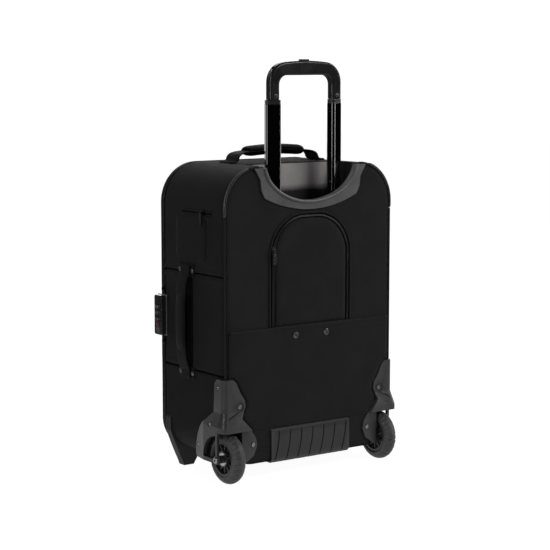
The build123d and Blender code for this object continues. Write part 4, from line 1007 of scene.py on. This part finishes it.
def side_pocket():
    """The padded pocket on the lock's side, with its zip over it."""
    centre_y, centre_z, half_y, half_z = SIDE_POCKET

    def outside(y, z):
        return outside_round_box(y, z, centre_y, centre_z, half_y, half_z, 14 * MM)

    def surface(y, z):
        edge = -outside(y, z)
        rise = 3.9 * MM * rise_from(edge, 5 * MM)
        soft = 0.7 * MM * ripple(0, y, z, 0.05, 31.0) * smooth_step(edge / (20 * MM))
        return Vector((HALF_W + rise + soft, y, z))

    made = flat_piece("side_pocket", outside, (centre_y - half_y, centre_z - half_z),
                      (centre_y + half_y, centre_z + half_z), surface, NYLON_SIDE_SHADED, "nylon_side",
                      cell=CELL, flip=False, thickness=FABRIC, replaces=["outer_pockets"])
    y0, y1, z = SIDE_ZIP
    line = frames([Vector((HALF_W, y, z)) for y in values(4 * MM, y0, y1)], AXIS_X)
    # painted shade: the coil in the near-black tape cloth and the flaps in the darker nylon, for the
    # shadow under the flap
    pocket_zip("side_zip", line, "case", ["case_zips"], TAPE)
    zip_flaps("side_zip", line, 4.9 * MM, 0.5 * MM, 3.2 * MM, NYLON_LOW, "case", "nylon_side")
    foot = centre_z - half_z + 3.5 * MM
    reach = 0.78 * (half_y - 3.5 * MM)
    corners = [Vector((HALF_W + 2.6 * MM, centre_y + end * reach, foot)) for end in (-1, 1)]
    stitches("side_pocket_stitches", loop_frames(corners, AXIS_X, closed=False), "case")


# ---- main zip
MAIN_ZIP_END_X = -145 * MM
TAPE_W = 4.0 * MM


def zip_ring(y, out=0.0):
    """Frames round the three zipped sides of the case at a depth y."""
    ring = outline(STEP)
    gone = [i for i, place in enumerate(ring) if place[0] < MAIN_ZIP_END_X]
    order = ring[gone[-1] + 1:] + ring[:gone[0]]
    points = [Vector((x + nx * out, y, z + nz * out)) for x, z, nx, nz, _ in order]
    return frames(points, [Vector((nx, 0, nz)) for _, _, nx, nz, _ in order])


def main_zip():
    """Both halves of the zip between case and lid, with meshing moulded teeth."""
    tooth = (1.05 * MM, 2.9 * MM, 1.3 * MM)
    pitch = 2.4 * MM
    for body, edge, turn in (("case", CASE_FRONT, 1), ("lid", LID_HIGH.y, -1)):
        sweep(f"main_zip_tape_{body}", zip_ring(edge + turn * TAPE_W / 2, 0.15 * MM),
              rounded(TAPE_W, 0.9 * MM, 4, 12), TAPE, body, "zip", replaces=[f"{body}_zips"])
        first = pitch / 2 if body == "case" else pitch
        teeth = spaced(zip_ring(edge + turn * 0.75 * MM, 0.25 * MM), pitch, first)
        blocks(f"main_zip_teeth_{body}", teeth, tooth, 0.7, COIL, body, "zip")
        stitches(f"main_zip_stitches_{body}", [zip_ring(edge + turn * 6.2 * MM, -0.15 * MM)], body)


# ---- lid
LID_ROUND = 12 * MM            # the lid's front edge


def swept_rim(name, profile, material, slot, seed, thickness=0.0, replaces=()):
    """A band of the lid round the whole outline; profile is a list of (y, inset)."""
    ring = outline(STEP)
    points, uvs = [], []
    run = 0.0
    for k, (y, inset) in enumerate(profile):
        if k:
            run += hypot(y - profile[k - 1][0], inset - profile[k - 1][1])
        for x, z, nx, nz, along in ring:
            out = 0.3 * MM * ripple(x, y, z, 0.06, seed) - inset
            points.append((x + nx * out, y, z + nz * out))
            uvs.append((along, run))
    faces = [face[::-1] for face in grid(len(profile), len(ring), closed_across=True)]
    made = piece(name, points, faces, material, "lid", slot, uvs, replaces=replaces)
    if thickness:
        modify(made, "SOLIDIFY", thickness=thickness, offset=-1.0)


def lid():
    """The lid's fabric, its lining, and the flat pocket over its front."""
    rear = LID_HIGH.y
    front = LID_LOW.y
    profile = [(rear - 0.2 * MM, 1.5 * MM), (rear - 1.6 * MM, 0.9 * MM), (rear - 3.2 * MM, 0.4 * MM)]
    for turn in values(radians(10), 0, pi / 2):
        profile.append((front + LID_ROUND - LID_ROUND * sin(turn), LID_ROUND - LID_ROUND * cos(turn)))
    profile += [(front, 16 * MM), (front, 24 * MM)]
    swept_rim("lid_fabric", profile, NYLON_SIDE_SHADED, "nylon_side", 41.0, FABRIC, ["lid_shell"])
    inner = [(rear - 0.4 * MM, 1.9 * MM), (rear - 3 * MM, 2.4 * MM), (front + 5 * MM, 4 * MM),
             (front + 2.5 * MM, 8 * MM), (front + 1.6 * MM, 16 * MM), (front + 1.6 * MM, 22 * MM)]
    swept_rim("lid_lining_rim", inner, LINING, "lining", 43.0)
    corners = (-HALF_W, BOTTOM), (HALF_W, TOP)
    flat_piece("lid_lining", lambda x, z: outside_case(x, z, 18 * MM), *corners,
               lambda x, z: Vector((x, front + 1.7 * MM, z)), LINING, "lining", "lid", cell=6 * MM)

    def outside_pocket(x, z):
        return outside_case(x, z, FRONT_INSET)

    x0, x1, zip_z = FRONT_ZIP

    def surface(x, z):
        edge = -outside_pocket(x, z)
        rise = 5.2 * MM * rise_from(edge, 6 * MM)
        by_zip = bell(z - zip_z, 14 * MM) * smooth_step((150 * MM - abs(x)) / (20 * MM))
        crown = 1.6 * MM * smooth_step(edge / (80 * MM)) * (1 - by_zip) + 0.7 * MM * by_zip
        soft = 1.1 * MM * ripple(x, 0, z, 0.10, 51.0) * smooth_step(edge / FULL) * (1 - by_zip)
        return Vector((x, front + 0.3 * MM - rise - crown - soft, z))

    made = flat_piece("front_pocket_panel", outside_pocket, *corners, surface, NYLON_POCKET,
                      "nylon_back", "lid", cell=4.0 * MM, flip=False, thickness=FABRIC,
                      replaces=["front_pocket"])
    line = frames([Vector((x, POCKET_FRONT, zip_z)) for x in values(4 * MM, x0, x1)], -AXIS_Y)
    pocket_zip("front_zip", line, "lid", ["lid_zips"])
    zip_flaps("front_zip", line, 4.8 * MM, 0.3 * MM, 4.2 * MM, NYLON_POCKET, "lid", "nylon_back")
    inset = FRONT_INSET - 0.5 * MM
    points = [Vector((x - nx * inset, front - 0.6 * MM, z - nz * inset))
              for x, z, nx, nz, _ in outline(STEP)]
    line = frames(points + points[:2], -AXIS_Y)
    sweep("front_pocket_piping", line[1:], circle(1.5 * MM), BINDING, "lid", "nylon_side", caps=False)
    stitches("lid_stitches", [shifted(line, 0, 0.4 * MM)], "lid")


def hinge_tape():
    """The fabric that joins lid and case on the side without a zip."""
    zs = values(6 * MM, BOTTOM + BOTTOM_R + 4 * MM, TOP - TOP_R - 4 * MM)
    ys = values(1.0 * MM, LID_HIGH.y - 4.5 * MM, CASE_FRONT + 4.5 * MM)
    points = []
    for y in ys:
        out = 0.4 * MM + 1.0 * MM * bell(y - SEAM_Y, 1.6 * MM)
        points += [Vector((-HALF_W - out, y, z)) for z in zs]
    made = piece("hinge_tape", points, grid(len(ys), len(zs)), WEBBING, None, "webbing",
                 [(p.z, p.y) for p in points])
    modify(made, "SOLIDIFY", thickness=0.7 * MM, offset=1.0)
    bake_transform(made)


def cushion(name, box_low, box_high, thin, bulge, body, replaces):
    """A padded board between two corners, thin along the axis of that number, with sewn edges."""
    a_axis, b_axis = (axis for axis in range(3) if axis != thin)
    half = (box_high[thin] - box_low[thin]) / 2
    middle = (box_high[thin] + box_low[thin]) / 2
    centre_a, centre_b = ((box_low[k] + box_high[k]) / 2 for k in (a_axis, b_axis))
    half_a, half_b = ((box_high[k] - box_low[k]) / 2 for k in (a_axis, b_axis))

    def outside(a, b):
        return outside_round_box(a, b, centre_a, centre_b, half_a, half_b, 4 * MM)

    places, faces = trimmed(outside, (box_low[a_axis], box_low[b_axis]),
                            (box_high[a_axis], box_high[b_axis]), 5 * MM)
    points, uvs, all_faces = [], [], []
    for sign in (1, -1):
        base = len(points)
        for a, b in places:
            edge = -outside(a, b)
            swell = half * (0.35 + 0.65 * rise_from(edge, 0.6 * half + bulge))
            swell *= 1 + 0.05 * ripple(a, b, 0, 0.05, 61.0)
            place = [0.0, 0.0, 0.0]
            place[a_axis], place[b_axis], place[thin] = a, b, middle + sign * min(swell, half)
            points.append(place)
            uvs.append((a, b))
        all_faces += [[base + i for i in (face if sign > 0 else face[::-1])] for face in faces]
    edges = {}
    for face in faces:
        for i, j in zip(face, face[1:] + face[:1]):
            edges[i, j] = edges.get((i, j), 0) + 1
    count = len(places)
    for i, j in edges:
        if (j, i) not in edges:
            all_faces.append((j, i, i + count, j + count))
    made = piece(name, points, all_faces, LINING, body, "lining", uvs, replaces=[replaces])
    outwards(made)


def inside():
    """Laptop sleeve in the lid and dividers in the case."""
    low, high = SLEEVE_LOW, SLEEVE_HIGH
    wall = 5 * MM
    near, far = low.y + wall + 0.5 * MM, high.y - wall - 0.5 * MM
    for word, corner, far_corner, thin, bulge in (
            ("panel", (low.x, high.y - wall, low.z), high, 1, 1 * MM),
            ("back", (low.x, low.y + 0.8 * MM, low.z), (high.x, low.y + wall, high.z), 1, 1 * MM),
            ("side_left", (high.x - wall, near, low.z), (high.x, far, high.z), 0, 0.5 * MM),
            ("side_right", (low.x, near, low.z), (low.x + wall, far, high.z), 0, 0.5 * MM),
            ("bottom", (low.x + 6 * MM, near, low.z), (high.x - 6 * MM, far, low.z + 4 * MM), 2,
             0.5 * MM)):
        cushion(f"sleeve_{word}", corner, far_corner, thin, bulge, "lid", "laptop_sleeve")
    front, back = -90 * MM, 49.5 * MM
    for word, corner, far_corner, thin in (
            ("upright", (-4 * MM, front, 36 * MM), (4 * MM, back, 430 * MM), 0),
            ("upper", (4.3 * MM, front, 300 * MM), (160 * MM, back, 306 * MM), 2),
            ("lower", (-160 * MM, front, 190 * MM), (-4.3 * MM, back, 196 * MM), 2)):
        cushion(f"divider_{word}", corner, far_corner, thin, 1 * MM, "case", "padded_dividers")


# ---- carry handles
def mirrored_line(half, place, up):
    """Frames along a smooth line whose second half mirrors half; place(a, b) gives its points."""
    path = [(-a, b) for a, b in half] + half[-2::-1]
    return frames(curve_through([place(a * MM, b * MM) for a, b in path]), up)


def strap(name, line, profile, body):
    """Webbing between its handle's body and the case, on no body, baked where it lies."""
    made = sweep(name, line, profile, WEBBING, None, "webbing", replaces=[f"{body}_strap"])
    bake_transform(made)


def wrap_piece(name, line, width, height, body, taper=0):
    """The padded sleeve round a strap: closed and pinched at both ends, with its ends and inner side
    painted near black as shade.
    """
    count = len(line)
    profile = rounded(width, height, 2.7, 36)
    end_pinch = (0.70, 0.86, 0.94, 0.98)

    def size(i):
        from_end = min(i, count - 1 - i)
        pinch = end_pinch[from_end] if from_end < len(end_pinch) else 1.0
        if taper:
            pinch *= 0.35 + 0.65 * smooth_step(from_end / taper)
        return (0.5 + 0.5 * pinch, pinch * (1 + 0.02 * ripple(i * 0.01, 0, 0, 0.06, 71.0)))

    made = sweep(name, line, profile, WRAP, body, "handle_pad", size=size, replaces=[f"{body}_wrap"])
    made.data.materials.append(WRAP_PAINTED_SHADE)
    # painted shade on the end caps and on the side nearest the case
    for polygon in made.data.polygons:
        lowest = min(profile[v % len(profile)][1] for v in polygon.vertices)
        if len(polygon.vertices) > 4 or lowest < 0.16 * height:
            polygon.material_index = 1


def top_handle():
    """Webbing strap sewn down to two patches, with a padded sleeve round its middle."""
    half = [(100, 535.6), (94, 535.7), (89.5, 536.5), (86.2, 539.6), (84.0, 544.6), (79.5, 548.8),
            (71, 551.4), (58, 552.9), (40, 554.3), (20, 555.5), (0, 555.9)]     # x and z in mm
    line = mirrored_line(half, lambda a, b: Vector((a, HANDLE_Y, b)), AXIS_Z)
    strap("top_strap", line, rounded(38 * MM, 2.8 * MM, 5, 24), "top_handle")
    middle = [f for f in spaced(line, 2 * MM) if abs(f[0].x) < 58 * MM]
    wrap_piece("top_wrap", middle, 35 * MM, 17.5 * MM, "top_handle")
    edges = [shifted(middle[6:-6], side * 14.2 * MM, 6.9 * MM) for side in (1, -1)]
    stitches("top_wrap_stitches", edges, "top_handle")


def side_handle():
    """The same handle, smaller, on the side with the lock."""
    half = [(97, 179.6), (88, 179.8), (81, 180.6), (75.4, 183.4), (66, 186.2), (52, 188.6),
            (30, 189.6), (0, 190)]                                  # z from the middle, and x, in mm
    line = mirrored_line(half, lambda a, b: Vector((b, SIDE_HANDLE_Y, SIDE_HANDLE_Z + a)), AXIS_X)
    strap("side_strap", line, rounded(28 * MM, 2.6 * MM, 5, 24), "side_handle")
    middle = [f for f in spaced(line, 2 * MM) if abs(f[0].z - SIDE_HANDLE_Z) < 62 * MM]
    taper = 16
    wrap_piece("side_wrap", shifted(middle, 0, -1.9 * MM), 29 * MM, 12.5 * MM, "side_handle", taper)
    edges = [shifted(middle[taper:-taper], side * 10.4 * MM, 3.5 * MM) for side in (1, -1)]
    stitches("side_wrap_stitches", edges, "side_handle")


def box_stitch(name, centre, half_a, half_b, up):
    """A rectangle of stitches on the case with a cross in it, from its two half sides."""
    corners = [centre + a * half_a + b * half_b for a, b in ((-1, -1), (1, -1), (1, 1), (-1, 1))]
    lines = loop_frames(corners, up)
    for i, j in ((0, 2), (1, 3)):
        lines += loop_frames([corners[i], corners[j]], up, closed=False)
    stitches(name, lines, "case", 2.6 * MM, 1.8 * MM)


def patch(name, centre, half, corner, cell, surface, material=WEBBING, replaces=("handle_anchors",)):
    """A flat rectangle of webbing with round corners; surface also gets the distance from its edge."""
    def outside(a, b):
        return outside_round_box(a, b, *centre, *half, corner)

    flat_piece(name, outside, (centre[0] - half[0], centre[1] - half[1]),
               (centre[0] + half[0], centre[1] + half[1]),
               lambda a, b: surface(a, b, -outside(a, b)), material, "webbing", cell=cell, flip=False,
               replaces=replaces)


def anchors():
    """The patches that the handles' straps are sewn to, and a near-black strip under the side handle: a
    painted shadow.
    """
    def on_top(x, y, edge):
        over = max(abs(x) - (HALF_W - TOP_R), 0.0)
        drop = TOP_R - (TOP_R ** 2 - over ** 2) ** 0.5
        return Vector((x, y, TOP - drop - 0.2 * MM + 1.7 * MM * rise_from(edge, 0.7 * MM)))

    def on_side(y, z, edge):
        return Vector((HALF_W + 2.9 * MM * rise_from(edge, 0.8 * MM), y, z))

    def on_fabric(y, z, edge):
        fabric = gusset_out(HALF_W, y, z, 1.0)
        return Vector((HALF_W + fabric + 2.1 * MM * rise_from(edge, 0.8 * MM), y, z))

    for side, word in SIDES:
        patch(f"top_patch_{word}", (side * 91 * MM, HANDLE_Y), (15 * MM, 21 * MM), 3 * MM, 1.6 * MM,
              on_top)
        box_stitch(f"top_patch_stitches_{word}", Vector((side * 95.5 * MM, HANDLE_Y, TOP + 4.0 * MM)),
                   3.5 * MM * AXIS_X, 15 * MM * AXIS_Y, AXIS_Z)
    for end, word in ((1, "upper"), (-1, "lower")):
        patch(f"side_patch_{word}", (SIDE_HANDLE_Y, SIDE_HANDLE_Z + end * 88.5 * MM),
              (25 * MM, 12 * MM), 4 * MM, 1.5 * MM, on_side)
        middle = Vector((HALF_W + 5.9 * MM, SIDE_HANDLE_Y, SIDE_HANDLE_Z + end * 91 * MM))
        box_stitch(f"side_patch_stitches_{word}", middle, 11 * MM * AXIS_Y, 5 * MM * AXIS_Z, AXIS_X)
    # painted shadow: a near-black strip of tape cloth on the side, under the handle, where its shadow
    # falls
    patch("side_handle_painted_shadow", (SIDE_HANDLE_Y, SIDE_HANDLE_Z), (18 * MM, 84 * MM), 3 * MM, 2.5 * MM,
          on_fabric, TAPE, ())


# ---- piping
PAINTED_LIT_FROM_Z = 452 * MM         # where the painted highlight on the cord begins on each side
PAINTED_LIT_TO = radians(72)          # how far round the corner it goes


def piping():
    """A thick cord round each upper corner, paler there as a painted highlight, and a thin dark one
    elsewhere along the back edge.
    """
    y = BACK - 2.4 * MM
    for side, word in SIDES:
        def round_corner(out, low, high):
            return [Vector((side * (HALF_W - TOP_R + (TOP_R + out) * cos(turn)), y,
                            TOP - TOP_R + (TOP_R + out) * sin(turn)))
                    for turn in values(radians(4), low, high)]

        def straight(out, low, high):
            return [Vector((side * (HALF_W + out), y, z)) for z in values(5 * MM, low, high)]

        # painted highlight: this stretch of the cord is paler, where it catches the light
        painted_lit = straight(1 * MM, PAINTED_LIT_FROM_Z, TOP - TOP_R)[:-1] + round_corner(1 * MM, 0, PAINTED_LIT_TO)
        ends = (0, len(painted_lit) - 1)
        sweep(f"pale_piping_{word}", frames(painted_lit, AXIS_Y), circle(2.6 * MM, 14), PIPING_HIGHLIT, "case",
              "piping", size=lambda i: (0.6, 0.6) if i in ends else (1.0, 1.0),
              replaces=["back_piping"])
        for name, line, radius in (
                ("dark", straight(0.6 * MM, GUARD_TOP + 1 * MM, PAINTED_LIT_FROM_Z - 1 * MM), 1.8 * MM),
                ("top", round_corner(0.4 * MM, PAINTED_LIT_TO, pi / 2), 1.6 * MM)):
            sweep(f"{name}_piping_{word}", frames(line, AXIS_Y), circle(radius, 12), BINDING, "case",
                  "nylon_back")


# ---- tyres
def tyre(side, word):
    """A solid tyre with slanting grooves across its crown."""
    middle = (TYRE_LOW + TYRE_HIGH) / 2
    centre = Vector((side * middle.x, middle.y, middle.z))
    radius = (TYRE_HIGH.z - TYRE_LOW.z) / 2
    half = (TYRE_HIGH.x - TYRE_LOW.x) / 2
    inner = 29 * MM                # radius of the hub's seat
    shoulder = 33 * MM             # radius where the crown begins
    bow = radius - shoulder
    arc = (half * half + bow * bow) / (2 * bow)
    sections = [(a, radius - arc + (arc * arc - a * a) ** 0.5) for a in values(0.75 * MM, -half, half)]
    sections += [(half - 1 * MM, inner), (-half + 1 * MM, inner)]
    turns = 720
    grooves = 26
    points = []
    for i in range(turns):
        turn = 2 * pi * i / turns
        for a, reach in sections:
            if reach > shoulder + 1 * MM:
                slant = turn * grooves + 1.1 * a / half * pi * (1 if a > 0 else -1)
                phase = (slant / (2 * pi)) % 1.0
                away = min(phase, 1 - phase) * 2 * pi * radius / grooves
                open_side = smooth_step((abs(a) - 2.2 * MM) / (1.5 * MM))
                reach -= 1.5 * MM * bell(away, 0.95 * MM) * open_side
            points.append(centre + Vector((a, reach * cos(turn), reach * sin(turn))))
    made = piece(f"grooved_tyre_{word}", points, grid(turns, len(sections), True, True), TYRE,
                 f"wheel_{word}", "tyre_rubber", replaces=[f"tyre_{word}"])
    outwards(made)
    modify(made, "WEIGHTED_NORMAL", keep_sharp=True)


# ---- figures on the dials
def dial_figures(number):
    """The ten figures round a dial, raised a little from it."""
    low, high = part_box(f"lock_dial_{number}")
    centre = (low + high) / 2
    radius = (high.y - low.y) / 2
    facing = Matrix(((0, 0, 1), (1, 0, 0), (0, 1, 0))).to_4x4()
    joined = bmesh.new()
    for figure in range(10):
        data = bpy.data.curves.new("figure", "FONT")
        data.body = str(figure)
        data.size = 5.0 * MM
        data.align_x = "CENTER"
        data.align_y = "CENTER"
        data.extrude = 0.10 * MM
        data.resolution_u = 3
        text = bpy.data.objects.new("figure", data)
        mesh = bpy.data.meshes.new_from_object(text)
        turn = radians(36 * (figure - 4 - number))
        mesh.transform(Matrix.Translation(centre) @ Matrix.Rotation(turn, 4, "Z")
                       @ Matrix.Translation((radius + 0.02 * MM, 0, 0)) @ facing)
        joined.from_mesh(mesh)
        bpy.data.objects.remove(text)
        bpy.data.curves.remove(data)
        bpy.data.meshes.remove(mesh)
    mesh = bpy.data.meshes.new(f"dial_figures_{number}")
    joined.to_mesh(mesh)
    joined.free()
    place_mesh(mesh.name, mesh, WHITE, f"dial_{number}", "dial_plastic")


def springs():
    """The button's springs again, one piece for each side, on the inner stage."""
    source = bmesh.new()
    source.from_mesh(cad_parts["return_springs"].data)
    for side, word in SIDES:
        half = source.copy()
        bmesh.ops.delete(half, geom=[v for v in half.verts if v.co.x * side < 0], context="VERTS")
        mesh = bpy.data.meshes.new(f"spring_{word}")
        half.to_mesh(mesh)
        half.free()
        made = place_mesh(mesh.name, mesh, STEEL, "inner_stage", "spring_steel", ["return_springs"])
        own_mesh(made)
    source.free()


gusset()
back_panel()
stash_pocket()
arch_pocket()
side_pocket()
main_zip()
lid()
hinge_tape()
inside()
top_handle()
side_handle()
anchors()
piping()
for side, word in SIDES:
    tyre(side, word)
for number in (1, 2, 3):
    dial_figures(number)
springs()
